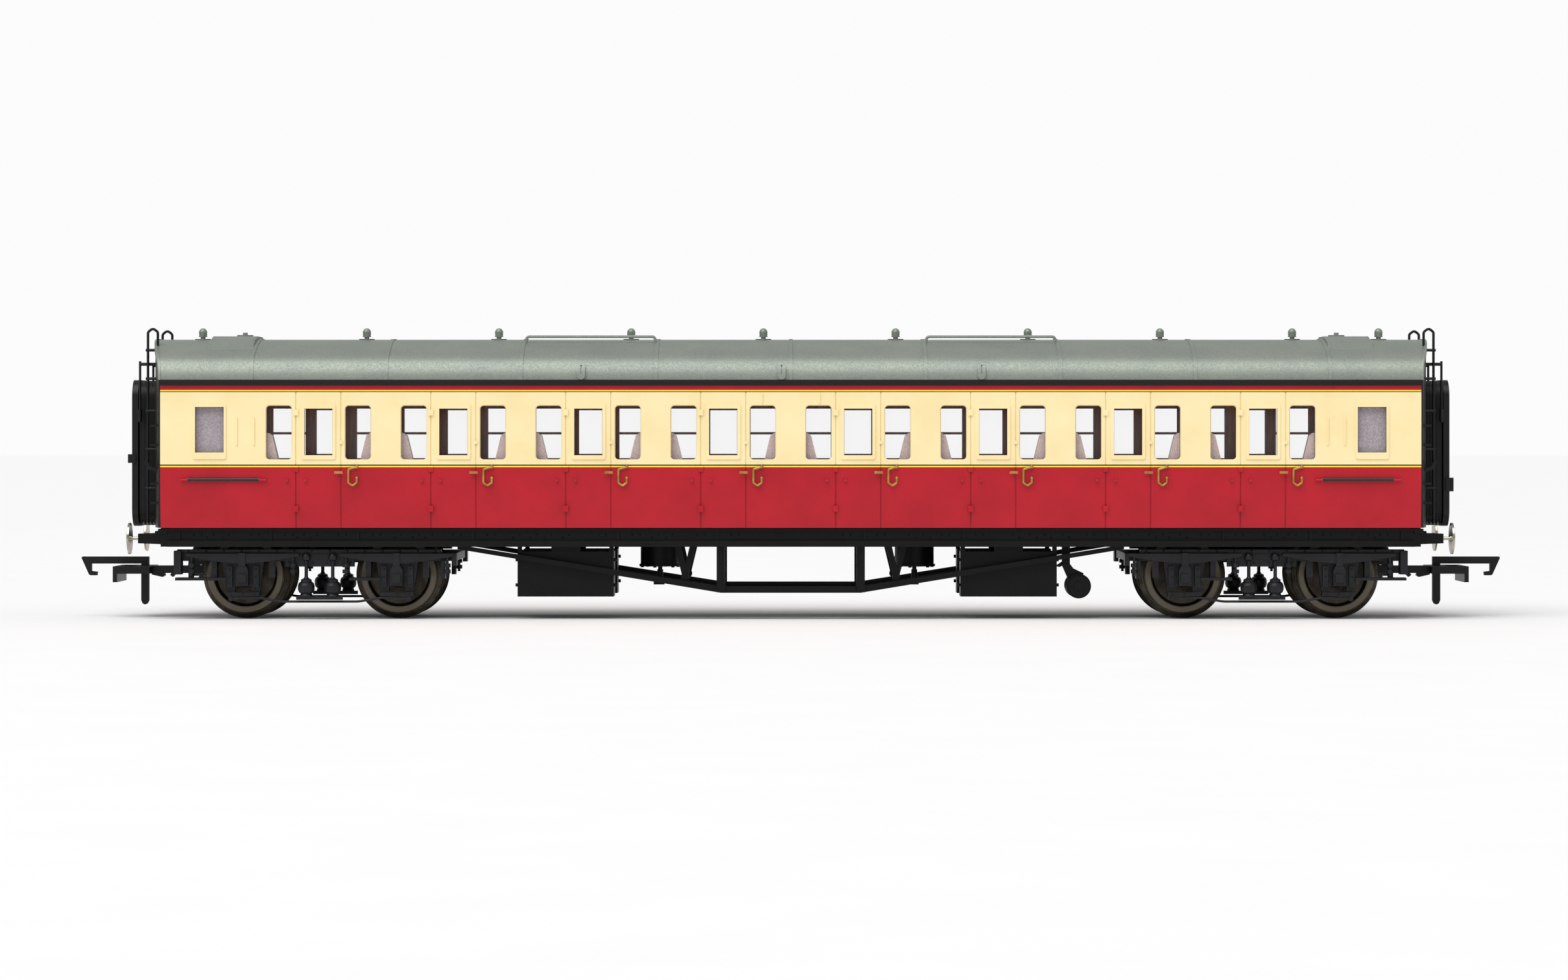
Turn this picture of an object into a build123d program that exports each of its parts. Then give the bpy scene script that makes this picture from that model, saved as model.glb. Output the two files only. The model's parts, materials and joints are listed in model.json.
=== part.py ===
from build123d import *
import math
import os

# A 4 mm scale model of a bow-ended corridor coach on two four-wheel bogies.
# X runs along the coach, Y across it and Z up; the wheel flanges stand on Z = 0.
# The compartment side faces -Y, and the corridor side faces +Y.

# Body
corner_x = 114.0            # where the straight sides end
bow = 2.7                   # how far a bowed end stands out at its middle
half_width = 18.0
foot_half_width = 17.3      # the sides turn under towards the bottom edge
turn_under_top = 27.0
body_bottom = 16.7
eaves = 43.5
wall = 1.0
roof_top = 51.1
roof_shoulder_radius = 5.0
roof_bow = 2.9
seam = 0.05                 # assembly gap between mouldings

# Compartments, doors and windows
bays = 8
bay = 24.4
door_width = 8.15
quarter_light_offset = 7.15
corridor_pitch = 25.4
corridor_large_x = 16.35
corridor_small_x = 5.4
corridor_door_x = (30.8, 105.5)
toilet_x = 105.1
interior_floor_z = (18.1, 18.9)
wall_plane_y = 6.0          # the wall between the compartments and the corridor
room_front = -16.5

# Underframe
solebar_outer = 16.0
solebar_inner = 15.2
solebar_bottom = 13.26
floor_bottom = 16.5
floor_top = 17.3
headstock_x = 113.0
queen_post_x = 12.7
truss_y = 14.3
truss_low = 4.85
truss_slope = 0.166
truss_depth = 1.15

# Bogies and wheels
bogie_x = 85.5
axle_offset = 14.0
axle_z = 8.0
flange_radius = 8.0
tread_radius = 7.05
wheel_back = 7.25
wheel_width = 2.8
frame_inner = 12.2
frame_outer = 13.6
pivot_radius = 1.5
boss_bottom = 12.3
cup_radius = 1.35

# Buffers and couplings
buffer_y = 11.4
buffer_z = 14.66
shank_radius = 0.29
housing_front = 118.8
coupling_pivot_x = 108.0
coupling_low = 8.05
coupling_high = 9.4
hook_pivot_x = 119.15
hook_pivot_z = 8.72

side_names = {-1: "left", 1: "right"}
bay_centres = [(index - (bays - 1) / 2) * bay for index in range(bays)]
bay_walls = [(index - bays / 2) * bay for index in range(bays + 1)]


# ---- shaping helpers -------------------------------------------------------------

def block(x, y, z):
    """A rectangular block from its low and high edge along each axis."""
    size = [abs(high - low) for low, high in (x, y, z)]
    middle = [(low + high) / 2 for low, high in (x, y, z)]
    return Pos(*middle) * Box(*size)


def side_plane(y):
    """A plane facing -Y, whose own axes are X and Z."""
    return Plane((0, y, 0), x_dir=(1, 0, 0), z_dir=(0, -1, 0))


def end_plane(x):
    """A plane facing +X, whose own axes are Y and Z."""
    return Plane((x, 0, 0), x_dir=(0, 1, 0), z_dir=(1, 0, 0))


def side_plate(points, y):
    """A plate with an outline in X and Z, between two values of Y."""
    outline = make_face(Polyline(*points, close=True))
    return extrude(side_plane(max(y)) * outline, abs(y[1] - y[0]))


def end_plate(points, x):
    """A plate with an outline in Y and Z, between two values of X."""
    outline = make_face(Polyline(*points, close=True))
    return extrude(end_plane(min(x)) * outline, abs(x[1] - x[0]))


def rod(start, end, radius):
    """A round rod between two points."""
    run = Vector(*end) - Vector(*start)
    return extrude(Plane(start, z_dir=run) * Circle(radius), run.length)


def wire(points, radius, bend):
    """A round wire bent to one radius at every corner of its route."""
    route = FilletPolyline(*points, radius=bend)
    return sweep(Plane(route @ 0, z_dir=route % 0) * Circle(radius), path=route)


def mirror_x(shape):
    return mirror(shape, about=Plane.YZ)


def mirror_y(shape):
    return mirror(shape, about=Plane.XZ)


def both_ends(shape):
    return [shape, mirror_x(shape)]


def both_sides(shape):
    return [shape, mirror_y(shape)]


def all_corners(shape):
    return [part for half in both_sides(shape) for part in both_ends(half)]


def flatten(shapes):
    flat = []
    for shape in shapes:
        if isinstance(shape, list):
            flat += flatten(shape)
        else:
            flat += shape.solids()
    return flat


def save(node, *shapes):
    """Write one sub-part; separate pieces stay separate solids in it."""
    solids = flatten(shapes)
    whole = solids[0] if len(solids) == 1 else Compound(solids)
    export_step(whole, f"parts/{node}.step")


# ---- body and roof ---------------------------------------------------------------

def bowed_block(end_x, end_bow, half, z):
    """A block whose ends bow outwards in plan."""
    outline = [
        Line((-end_x, -half), (end_x, -half)),
        ThreePointArc((end_x, -half), (end_x + end_bow, 0), (end_x, half)),
        Line((end_x, half), (-end_x, half)),
        ThreePointArc((-end_x, half), (-end_x - end_bow, 0), (-end_x, -half)),
    ]
    return extrude(Plane.XY.offset(z[0]) * make_face(outline), z[1] - z[0])


def side_section(inset):
    """Cross-section of the body up to the eaves, moved inwards by the inset."""
    wide = half_width - inset
    foot = foot_half_width - inset
    middle = wide - (wide - foot) / 4
    middle_z = (body_bottom + turn_under_top) / 2
    outline = [
        Line((foot, body_bottom), (-foot, body_bottom)),
        ThreePointArc((-foot, body_bottom), (-middle, middle_z), (-wide, turn_under_top)),
        Line((-wide, turn_under_top), (-wide, eaves)),
        Line((-wide, eaves), (wide, eaves)),
        Line((wide, eaves), (wide, turn_under_top)),
        ThreePointArc((wide, turn_under_top), (middle, middle_z), (foot, body_bottom)),
    ]
    return make_face(outline)


def roof_section(inset):
    """Three-arc roof cross-section above the eaves, moved inwards by the inset."""
    rise = roof_top - eaves
    shoulder = roof_shoulder_radius
    crown = (half_width ** 2 - 2 * half_width * shoulder + rise ** 2) / (2 * (rise - shoulder))
    lean = math.asin((half_width - shoulder) / (crown - shoulder))
    wide = half_width - inset
    crown_centre = roof_top - crown
    join = ((crown - inset) * math.sin(lean), crown_centre + (crown - inset) * math.cos(lean))
    turn = (math.pi / 2 - lean) / 2
    knee = (half_width - shoulder + (shoulder - inset) * math.cos(turn),
            eaves + (shoulder - inset) * math.sin(turn))
    outline = [
        Line((-wide, eaves), (wide, eaves)),
        ThreePointArc((wide, eaves), knee, join),
        ThreePointArc(join, (0, roof_top - inset), (-join[0], join[1])),
        ThreePointArc((-join[0], join[1]), (-knee[0], knee[1]), (-wide, eaves)),
    ]
    return make_face(outline)


def roof_height(y):
    """Height of the roof's crown surface at a distance from the centre line."""
    rise = roof_top - eaves
    shoulder = roof_shoulder_radius
    crown = (half_width ** 2 - 2 * half_width * shoulder + rise ** 2) / (2 * (rise - shoulder))
    return roof_top - crown + math.sqrt(crown ** 2 - y ** 2)


def along(section, x):
    """Extrude a cross-section along the coach between two values of X."""
    return extrude(end_plane(x[0]) * section, x[1] - x[0])


def side_opening(side, x, width, z, corner):
    """A cutter for a window, with its outer edge bevelled."""
    height = z[1] - z[0]
    middle_z = (z[0] + z[1]) / 2
    outline = RectangleRounded(width, height, corner) if corner else Rectangle(width, height)
    face = Plane((x, -half_width + 1.5, middle_z), x_dir=(1, 0, 0), z_dir=(0, -1, 0))
    cutter = extrude(face * outline, 3.0)
    if corner:
        wide = RectangleRounded(width + 0.4, height + 0.4, corner + 0.2)
        cutter += loft([face.offset(1.3) * outline, face.offset(1.55) * wide])
    return cutter if side < 0 else mirror_y(cutter)


def raised_frame(side, x, width, z):
    """The raised surround of a door's or a toilet's light."""
    height = z[1] - z[0]
    face = Plane((x, -half_width + 0.3, (z[0] + z[1]) / 2), x_dir=(1, 0, 0), z_dir=(0, -1, 0))
    frame = extrude(face * RectangleRounded(width, height, 0.4), 0.5)
    return frame if side < 0 else mirror_y(frame)


def surface_skin(depth, x):
    """Slices of the body's outer skin, which cut grooves of an even depth."""
    ring = side_section(-0.1) - side_section(depth)
    return along(ring, x)


def door_grooves(side, centre):
    """The two upright shut lines of a door."""
    half = block((-200, 200), (0, 40), (body_bottom - 1, 41.3))
    half = half if side > 0 else mirror_y(half)
    cut = []
    for edge in (-1, 1):
        x = centre + edge * door_width / 2
        cut.append(surface_skin(0.18, (x - 0.12, x + 0.12)) & half)
    return cut


def door_hinges(side, centre):
    """Three raised hinges on the left edge and a lock bump on the right one."""
    edge = centre + side * door_width / 2
    lock = centre - side * door_width / 2
    bumps = []
    for z in (37.6, 27.4, 20.2):
        bumps.append(block((edge - 0.45, edge + 0.45), (-18.25, -17.0), (z - 0.55, z + 0.55)))
    bumps.append(block((lock - 0.3, lock + 0.3), (-18.2, -17.5), (31.9, 32.5)))
    return [bump if side < 0 else mirror_y(bump) for bump in bumps]


def body_shell():
    blank = along(side_section(0), (-125, 125)) + along(roof_section(wall + seam), (-125, 125))
    blank &= bowed_block(corner_x, bow, half_width + 1, (body_bottom, roof_top))
    hollow = along(side_section(wall), (-125, 125)) + block((-125, 125), (-20, 20), (eaves, 60))
    hollow += block((-125, 125), (-16.3, 16.3), (body_bottom - 1, body_bottom + 1))
    hollow &= bowed_block(corner_x - wall, bow, half_width + 1, (body_bottom - 1, 60))
    shell = blank - hollow
    gutter = block((-corner_x, corner_x), (-18.35, -17.5), (42.5, eaves))
    additions = both_sides(gutter)
    cuts = []
    for centre in bay_centres:
        additions.append(raised_frame(-1, centre, 6.2, (29.1, 39.2)))
        additions += door_hinges(-1, centre)
        cuts += door_grooves(-1, centre)
        cuts.append(side_opening(-1, centre, 5.1, (29.85, 38.3), 0))
        for offset in (-quarter_light_offset, quarter_light_offset):
            cuts.append(side_opening(-1, centre + offset, 4.55, (29.1, 38.8), 0.6))
    for end in (-1, 1):
        additions.append(raised_frame(-1, end * toilet_x, 6.0, (29.15, 39.0)))
        cuts.append(side_opening(-1, end * toilet_x, 5.2, (30.35, 38.6), 0))
        for x in (97.1, 100.2):
            additions.append(block((end * x - 0.15, end * x + 0.15), (-18.2, -17.5), (31.7, 36.7)))
        additions.append(block((end * 5.2 - 0.15, end * 5.2 + 0.15), (-18.2, -17.5), (39.3, 41.2)))
        for index in range(bays // 2):
            large = end * (corridor_large_x + corridor_pitch * index)
            small = end * (corridor_small_x + corridor_pitch * index)
            cuts.append(side_opening(1, large, 12.5, (29.1, 38.8), 0.6))
            if abs(small) not in corridor_door_x:
                cuts.append(side_opening(1, small, 5.0, (29.1, 38.8), 0.6))
        for x in corridor_door_x:
            additions.append(raised_frame(1, end * x, 6.2, (29.1, 39.2)))
            additions += door_hinges(1, end * x)
            cuts += door_grooves(1, end * x)
            cuts.append(side_opening(1, end * x, 5.1, (29.85, 38.3), 0))
    for addition in additions:
        shell += addition
    for cut in cuts:
        shell -= cut
    doorway = block((116.2, 118), (-4.2, 4.2), (19.0, 41.5))
    for opening in both_ends(doorway):
        shell -= opening
    return shell


def roof():
    plan = bowed_block(corner_x, roof_bow, half_width + 1, (eaves, 60))
    whole = along(roof_section(0), (-125, 125)) - along(roof_section(wall), (-126, 126))
    whole &= plan
    proud = roof_section(-0.14) - roof_section(0.3)
    for x in bay_walls:
        whole += along(proud, (x - 0.35, x + 0.35)) & block((-200, 200), (-20, 20), (eaves, 60))
    edge = along(proud, (-125, 125)) & plan
    edge -= bowed_block(corner_x - 0.6, roof_bow, half_width + 2, (eaves - 1, 61))
    whole += edge
    return whole


def roof_ventilators():
    """Torpedo ventilators on the centre line: a base plate, a neck and a ribbed hood."""
    places = [centre + 7.15 for centre in bay_centres] + [-108.5, 108.5]
    made = []
    for x in places:
        hood = rod((x, 0, roof_top), (x, 0, roof_top + 0.15), 1.45)
        hood += rod((x, 0, roof_top), (x, 0, roof_top + 0.6), 0.45)
        hood += rod((x, 0, roof_top + 0.5), (x, 0, roof_top + 1.35), 0.7)
        for ring in (0.55, 0.9, 1.25):
            hood += rod((x, 0, roof_top + ring), (x, 0, roof_top + ring + 0.18), 0.78)
        hood += Pos(x, 0, roof_top + 1.38) * Sphere(0.74)
        made.append(hood - along(roof_section(0), (x - 3, x + 3)))
    return made


def roof_side_ventilators():
    """Small upright cowls low on the compartment side of the roof."""
    made = []
    proud = roof_section(-0.6) - roof_section(0)
    groove = roof_section(-1.0) - roof_section(-0.35)
    for x in (-37.9, -1.65, 34.5):
        capsule = extrude(side_plane(-13) * Pos(x, 45.1) * SlotOverall(3.1, 1.45, 90), 7.0)
        cowl = capsule & along(proud, (x - 1, x + 1))
        slit = along(groove, (x - 0.12, x + 0.12)) & block((x - 1, x + 1), (-20, -12), (44.6, 46.2))
        made.append(cowl - slit)
    return made


def water_tank_covers():
    """Raised filler covers over the toilets, flatter than the roof they sit on."""
    made = []
    for end in (-1, 1):
        x = (97.95, 106.1) if end > 0 else (-106.1, -97.95)
        cover = end_plate([(-13.6, 47.7), (-13.6, 48.55), (-9.0, 50.7), (-4.0, 51.65),
                           (4.0, 51.65), (9.0, 50.7), (13.6, 48.55), (13.6, 47.7)], x)
        made.append(cover - along(roof_section(0), (-125, 125)))
    return made


def tank_filler_caps():
    made = []
    for end in (-1, 1):
        base = Plane((end * 100.7, 0, 51.65))
        made.append(extrude(base * Circle(1.5), 0.3) + extrude(base * Circle(0.45), 0.75))
    return made


def roof_rails():
    """Thin wires along the crown of the roof, bent down at each end."""
    y = -7.5
    crown = roof_height(y)
    high = crown + 1.15
    rail = wire([(24.8, y, crown - 0.3), (24.8, y, high), (48.4, y, high), (48.4, y, crown - 0.3)],
                0.25, 0.6)
    return both_ends(rail)


# ---- glazing and metal fittings ----------------------------------------------------

def glazing(side):
    strip = block((-101.5, 101.5), (-half_width + wall, -half_width + wall + 0.4), (28.3, 40.3))
    return strip if side < 0 else mirror_y(strip)


def toilet_panes():
    y = (-half_width + wall, -half_width + wall + 0.4)
    return both_ends(block((toilet_x - 3.2, toilet_x + 3.2), y, (29.4, 39.6)))


def grab_handle(side, hinge_side_x):
    """A bent wire handle, open towards the door's lock, with a knob at its free end."""
    x = hinge_side_x
    y = -half_width - 0.45
    bow_wire = wire([(x + 1.5, -17.7, 27.75), (x + 1.5, y, 27.75), (x, y, 27.3), (x, y, 24.9),
                     (x + 0.75, y, 24.35), (x + 1.5, y, 24.9), (x + 1.5, y, 25.7)], 0.2, 0.3)
    handle = bow_wire + Pos(x + 1.5, y, 25.75) * Sphere(0.28)
    handle += Pos(x + 1.5, y + 0.1, 27.75) * Sphere(0.32)
    return handle if side < 0 else mirror_y(mirror_x(handle))


def door_handle(side, x):
    """A T handle: a round stem with a slim bar across it."""
    stem = rod((x, -17.75, 26.75), (x, -18.55, 26.75), 0.2)
    bar = block((x - 0.75, x + 0.75), (-18.75, -18.5), (26.52, 26.98))
    handle = stem + bar
    return handle if side < 0 else mirror_y(handle)


def side_handrails():
    """Long rails near the ends of the compartment side, on short end brackets."""
    rail = rod((96.0, -18.45, 25.45), (109.1, -18.45, 25.45), 0.28)
    for x in (95.4, 109.7):
        rail += block((x - 0.6, x + 0.6), (-18.6, -17.8), (25.3, 25.6))
    return both_ends(rail)


def door_stops():
    """Small round stops either side of each door's hinge line."""
    made = []
    for centre in bay_centres:
        for x in (centre - door_width / 2 - 1.6, centre - door_width / 2 + 1.75):
            made.append(rod((x, -17.8, 25.3), (x, -18.5, 25.3), 0.26))
    return made


# ---- interior --------------------------------------------------------------------

def bench_seat(x, face):
    """A bench with a thin back on a compartment wall and a deep wing by the window."""
    back = [(0.5, 18.9), (9.0, 18.9), (9.0, 23.6), (3.2, 24.2), (2.4, 28.0), (1.6, 32.2),
            (1.5, 33.0), (0.5, 33.4)]
    wing = [(0.5, 23.0), (6.0, 23.0), (5.6, 24.2), (5.0, 28.0), (4.0, 32.2), (3.7, 33.4),
            (3.0, 33.9), (1.2, 33.9), (0.5, 33.4)]
    places = [[(x + face * across, z) for across, z in outline] for outline in (back, wing)]
    bench = side_plate(places[0], (room_front, wall_plane_y - 0.6))
    return bench + side_plate(places[1], (room_front, room_front + 2.2))


def seats():
    made = []
    for centre in bay_centres:
        made.append(bench_seat(centre - bay / 2, 1))
        made.append(bench_seat(centre + bay / 2, -1))
    return made


def compartment_walls():
    return [block((x - 0.5, x + 0.5), (room_front, wall_plane_y - 0.5), (18.9, 42.0))
            for x in bay_walls]


def corridor_wall():
    """The panelled wall between compartments and corridor, with its door lights."""
    long_wall = block((-108, 108), (wall_plane_y - 0.5, wall_plane_y + 0.5), (18.9, 42.0))
    for centre in bay_centres:
        long_wall -= block((centre - 2.75, centre + 2.75), (5, 7), (30.0, 38.1))
        for side in (-1, 1):
            pane = (centre + side * 4.75, centre + side * 10.8)
            long_wall -= block(sorted(pane), (5, 7), (29.2, 38.4))
            bar = block(sorted(pane), (5.75, 6.25), (33.6, 34.05))
            long_wall += bar
    return long_wall


# ---- underframe ------------------------------------------------------------------

def chassis_floor():
    """The floor plate that closes the body, with a boss over each bogie pivot."""
    plate = block((-112.2, 112.2), (-16.2, 16.2), (floor_bottom, floor_top))
    for end in (-1, 1):
        base = Plane((end * bogie_x, 0, boss_bottom))
        plate += extrude(base * Circle(3.2), floor_top - boss_bottom)
        plate -= extrude(base * Circle(pivot_radius), floor_top - boss_bottom)
    return plate


def pivot_screws():
    """Shouldered screws that carry the bogies, driven up into the floor's bosses."""
    made = []
    for end in (-1, 1):
        x = end * bogie_x
        screw = rod((x, 0, 10.3), (x, 0, floor_top - 0.3), pivot_radius)
        screw += rod((x, 0, 9.5), (x, 0, 10.3), 2.6)
        screw -= block((x - 2, x + 2), (-0.3, 0.3), (9.4, 9.9))
        made.append(screw)
    return made


def solebar():
    """A channel with its upper flange, its web and the deeper board along its foot."""
    web = block((-headstock_x, headstock_x), (-solebar_outer, -solebar_inner), (14.2, floor_bottom))
    lip = block((-headstock_x, headstock_x), (-16.6, -solebar_inner), (16.1, floor_bottom))
    board = block((-headstock_x, headstock_x), (-17.0, -solebar_inner), (solebar_bottom, 14.35))
    channel = web + lip + board
    for x in (31.3, 57.6, 78.4, 94.2, 110.8, 13.4):
        for place in (-x, x):
            channel += block((place - 0.25, place + 0.25), (-16.35, -15.9), (14.35, 16.1))
    return channel


def headstock():
    top = body_bottom - seam
    beam = block((headstock_x, headstock_x + 1.2), (-16.0, 16.0), (solebar_bottom, top))
    cap = end_plate([(-16.6, 15.7), (-16.6, 16.5), (-14.5, 16.5), (-14.5, 15.7)],
                    (headstock_x, headstock_x + 1.6))
    beam += cap + mirror_y(cap)
    for side in (-1, 1):
        beam -= rod((headstock_x - 1, side * buffer_y, buffer_z),
                    (headstock_x + 2, side * buffer_y, buffer_z), shank_radius + 0.1)
    return beam


def truss_rods():
    """The bent angle bars under each solebar."""
    end = 60.5
    low_end = truss_low + truss_slope * (end - queen_post_x)
    outline = [(-end, low_end), (-queen_post_x, truss_low), (queen_post_x, truss_low),
               (end, low_end), (end, solebar_bottom), (end - 2.0, solebar_bottom),
               (queen_post_x, truss_low + truss_depth), (-queen_post_x, truss_low + truss_depth),
               (-end + 2.0, solebar_bottom), (-end, solebar_bottom)]
    leaf = side_plate(outline, (-truss_y - 0.4, -truss_y + 0.1))
    flange = side_plate([(-end, low_end), (-queen_post_x, truss_low), (queen_post_x, truss_low),
                         (end, low_end), (end, low_end + 0.4), (queen_post_x, truss_low + 0.4),
                         (-queen_post_x, truss_low + 0.4), (-end, low_end + 0.4)],
                        (-truss_y + 0.1, -truss_y + 1.4))
    return both_sides(leaf + flange)


def truss_posts():
    """Queen posts, V hangers and the brake shaft's bosses between solebar and truss."""
    y = (-truss_y - 0.9, -truss_y - 0.4)
    post = block((queen_post_x - 0.75, queen_post_x + 0.75), y, (truss_low + 0.1, solebar_bottom))
    post += block((queen_post_x - 0.75, queen_post_x - 0.3),
                  (-truss_y + 0.1, -truss_y + 1.4), (truss_low + 0.4, solebar_bottom))
    post += block((queen_post_x - 0.75, queen_post_x + 0.75),
                  (-truss_y - 0.5, -truss_y + 1.4), (solebar_bottom - 0.5, solebar_bottom))
    low, apex = 7.6, 19.2
    hanger_y = (-13.0, -12.2)
    arms = []
    for lean in (-1, 1):
        top = apex + lean * 2.1
        arms.append(side_plate([(apex - 0.5, low), (apex + 0.5, low), (top + 0.55, floor_bottom),
                                (top - 0.55, floor_bottom)], hanger_y))
    hanger = arms[0] + arms[1] + rod((apex, -13.3, low), (apex, -11.9, low), 0.75)
    return all_corners(post) + all_corners(hanger)


def battery_boxes():
    """Plain boxes hung from the floor by straps, with bolts on their ends."""
    made = []
    for low_x, high_x in ((-49.7, -32.2), (30.9, 48.4)):
        box = block((low_x, high_x), (-12.8, -6.0), (4.1, 12.3))
        middle = (low_x + high_x) / 2
        for x in (low_x + 0.4, middle - 1.0, middle + 1.0, high_x - 0.4):
            half = 0.4 if abs(x - middle) > 2 else 1.6
            box += block((x - half, x + half), (-12.8, -12.0), (12.2, floor_bottom))
        for z in (6.2, 10.8):
            box += rod((low_x - 0.4, -12.0, z), (high_x + 0.4, -12.0, z), 0.3)
        box -= block((low_x + 0.8, high_x - 0.8), (-12.0, -6.8), (4.9, 11.5))
        made += both_sides(box)
    return made


def vacuum_cylinders():
    made = []
    for x in (-24.1, 22.8):
        cylinder = rod((x, 0, 9.3), (x, 0, floor_bottom), 3.6)
        cylinder += rod((x, 0, 9.3), (x, 0, 9.7), 3.85)
        cylinder += rod((x, 0, 6.6), (x, 0, 9.3), 0.4) + rod((x, 0, 6.6), (x, 0, 8.7), 0.55)
        cylinder += block((x - 1.2, x + 0.8), (-0.5, 0.5), (5.9, 6.9))
        for turn in range(6):
            angle = math.radians(turn * 60 + 15)
            at = (x + 3.4 * math.cos(angle), 3.4 * math.sin(angle))
            cylinder += rod((*at, 9.1), (*at, 10.0), 0.3)
        made.append(cylinder)
    return made


def dynamo():
    """The axle-driven generator on its swinging bracket."""
    x, z = 52.4, 6.0
    drum = rod((x, -12.5, z), (x, -5.5, z), 2.25)
    drum += rod((x, -12.9, z), (x, -12.5, z), 1.9) + rod((x, -13.1, z), (x, -12.9, z), 0.9)
    drum += rod((x, -5.5, z), (x, -4.3, z), 1.2)
    arm = side_plate([(49.4, 10.0), (50.9, 10.0), (51.5, 9.2), (53.4, 8.3), (52.4, 6.0),
                      (50.9, 6.6)], (-11.4, -8.6))
    post = block((49.5, 50.9), (-11.0, -9.0), (9.8, floor_bottom))
    tip = side_plate([(48.3, 9.6), (49.5, 10.4), (49.6, 9.7), (49.0, 9.4)], (-10.6, -9.4))
    return drum + arm + post + tip


# ---- end fittings ------------------------------------------------------------------

def end_face_x(y):
    """Where the bowed end panel's face stands at a distance from the centre line."""
    return corner_x + bow * (1 - (y / half_width) ** 2)


def arch_ring(outer, inner, top, bottom, corner, x):
    """A frame with round upper corners and open middle, between two values of X."""
    middle = (top + bottom) / 2
    big = Pos(0, middle) * RectangleRounded(2 * outer, top - bottom, corner)
    rim = outer - inner
    hole = Pos(0, middle) * RectangleRounded(2 * inner, top - bottom - 2 * rim, max(corner - rim, 0.3))
    return extrude(end_plane(x[0]) * (big - hole), x[1] - x[0])


def gangway_bellows():
    """Folded bellows: high folds and low valleys in turn."""
    start, end, folds = 116.3, 119.4, 5
    step = (end - start) / (2 * folds)
    whole = arch_ring(6.9, 5.0, 42.9, 17.4, 2.4, (start, end))
    for index in range(folds):
        x = start + (2 * index + 0.5) * step
        whole += arch_ring(7.6, 5.2, 43.5, 16.9, 3.0, (x, x + step))
    whole += arch_ring(6.9, 5.0, 42.9, 17.4, 2.4, (114.0, start))
    whole -= bowed_block(corner_x, bow, half_width + 1, (10, 60))
    return both_ends(whole)


def gangway_faceplates():
    """The rubbing plates at the outer ends, with a catch on each side."""
    made = []
    for end in (-1, 1):
        plate = arch_ring(8.0, 5.2, 43.6, 16.8, 3.2, (119.4, 120.5))
        for side in (-1, 1):
            low, high = (28.4, 30.0) if side == end else (23.2, 25.7)
            plate += block((119.8, 121.2), sorted((side * 7.2, side * 8.4)), (low, high))
        made.append(plate if end > 0 else mirror_x(plate))
    return made


def end_pipes():
    """Filling pipes over the roof's end and the gangway's hanging rods."""
    y = -10.0
    face = end_face_x(y)
    x = 117.3
    down = wire([(115.5, y, roof_height(y) - 0.2), (115.5, y, 52.3), (116.4, y, 53.0), (x, y, 52.3),
                 (x, y, 17.6)], 0.24, 0.6)
    for z in (49.0, 43.8, 37.9, 30.9, 23.8):
        down += rod((face - 0.3, y, z), (x + 0.4, y, z), 0.26)
    hanger = rod((115.5, -8.9, 46.45), (118.9, -8.9, 46.45), 0.3)
    hanger += rod((118.9, -8.9, 47.0), (118.9, -8.9, 35.8), 0.22)
    hanger += rod((118.9, -8.9, 38.2), (118.9, -8.9, 36.0), 0.38)
    return all_corners(down) + all_corners(hanger)


def end_steps():
    """Steps and lamp irons on the end panels."""
    iron = side_plate([(114.2, 26.3), (116.6, 27.3), (117.3, 28.4), (117.3, 28.9), (116.8, 28.9),
                       (116.3, 27.9), (114.2, 26.9)], (-14.6, -13.9))
    pieces = [iron]
    for z in (21.0, 24.5, 31.5, 35.0):
        pieces.append(block((114.3, 116.1), (-16.2, -14.9), (z, z + 0.4)))
    return [all_corners(piece) for piece in pieces]


# ---- buffers and couplings ---------------------------------------------------------

def buffer_housing():
    """A tapered box, bored for the spring and, at its front, for the shank."""
    rear, front = headstock_x + 1.2, housing_front
    body = loft([end_plane(rear) * Pos(buffer_y, buffer_z) * Rectangle(2.4, 2.1),
                 end_plane(front) * Pos(buffer_y, buffer_z) * Rectangle(2.1, 1.75)])
    body -= rod((rear, buffer_y, buffer_z), (front - 1.0, buffer_y, buffer_z), 0.72)
    body -= rod((rear, buffer_y, buffer_z), (front + 1, buffer_y, buffer_z), shank_radius + 0.05)
    return body


def buffer():
    """A turned buffer: domed head, shank and the collar its spring pushes on."""
    face_x, rim_x, back_x = 121.0, 120.6, 120.25
    head_radius = 2.87
    dome = [(face_x - (face_x - rim_x) * step ** 2, head_radius * step) for step in (0, 0.25, 0.5, 0.75, 1)]
    profile = [(back_x, 0), *dome, (back_x, head_radius)]
    turned = revolve(Plane.XZ * make_face(Polyline(*profile, close=True)), Axis.X)
    turned += rod((115.2, 0, 0), (back_x, 0, 0), shank_radius)
    turned += rod((117.2, 0, 0), (117.6, 0, 0), 0.62)
    turned += rod((120.05, 0, 0), (back_x, 0, 0), 0.55)
    return turned


def buffer_spring():
    low, high = 114.5, 117.0
    coil = Helix(pitch=0.5, height=high - low, radius=0.5)
    turn = sweep(Plane(coil @ 0, z_dir=coil % 0) * Circle(0.09), path=coil)
    return Pos(low, buffer_y, buffer_z) * Rot(0, 90, 0) * turn


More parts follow.
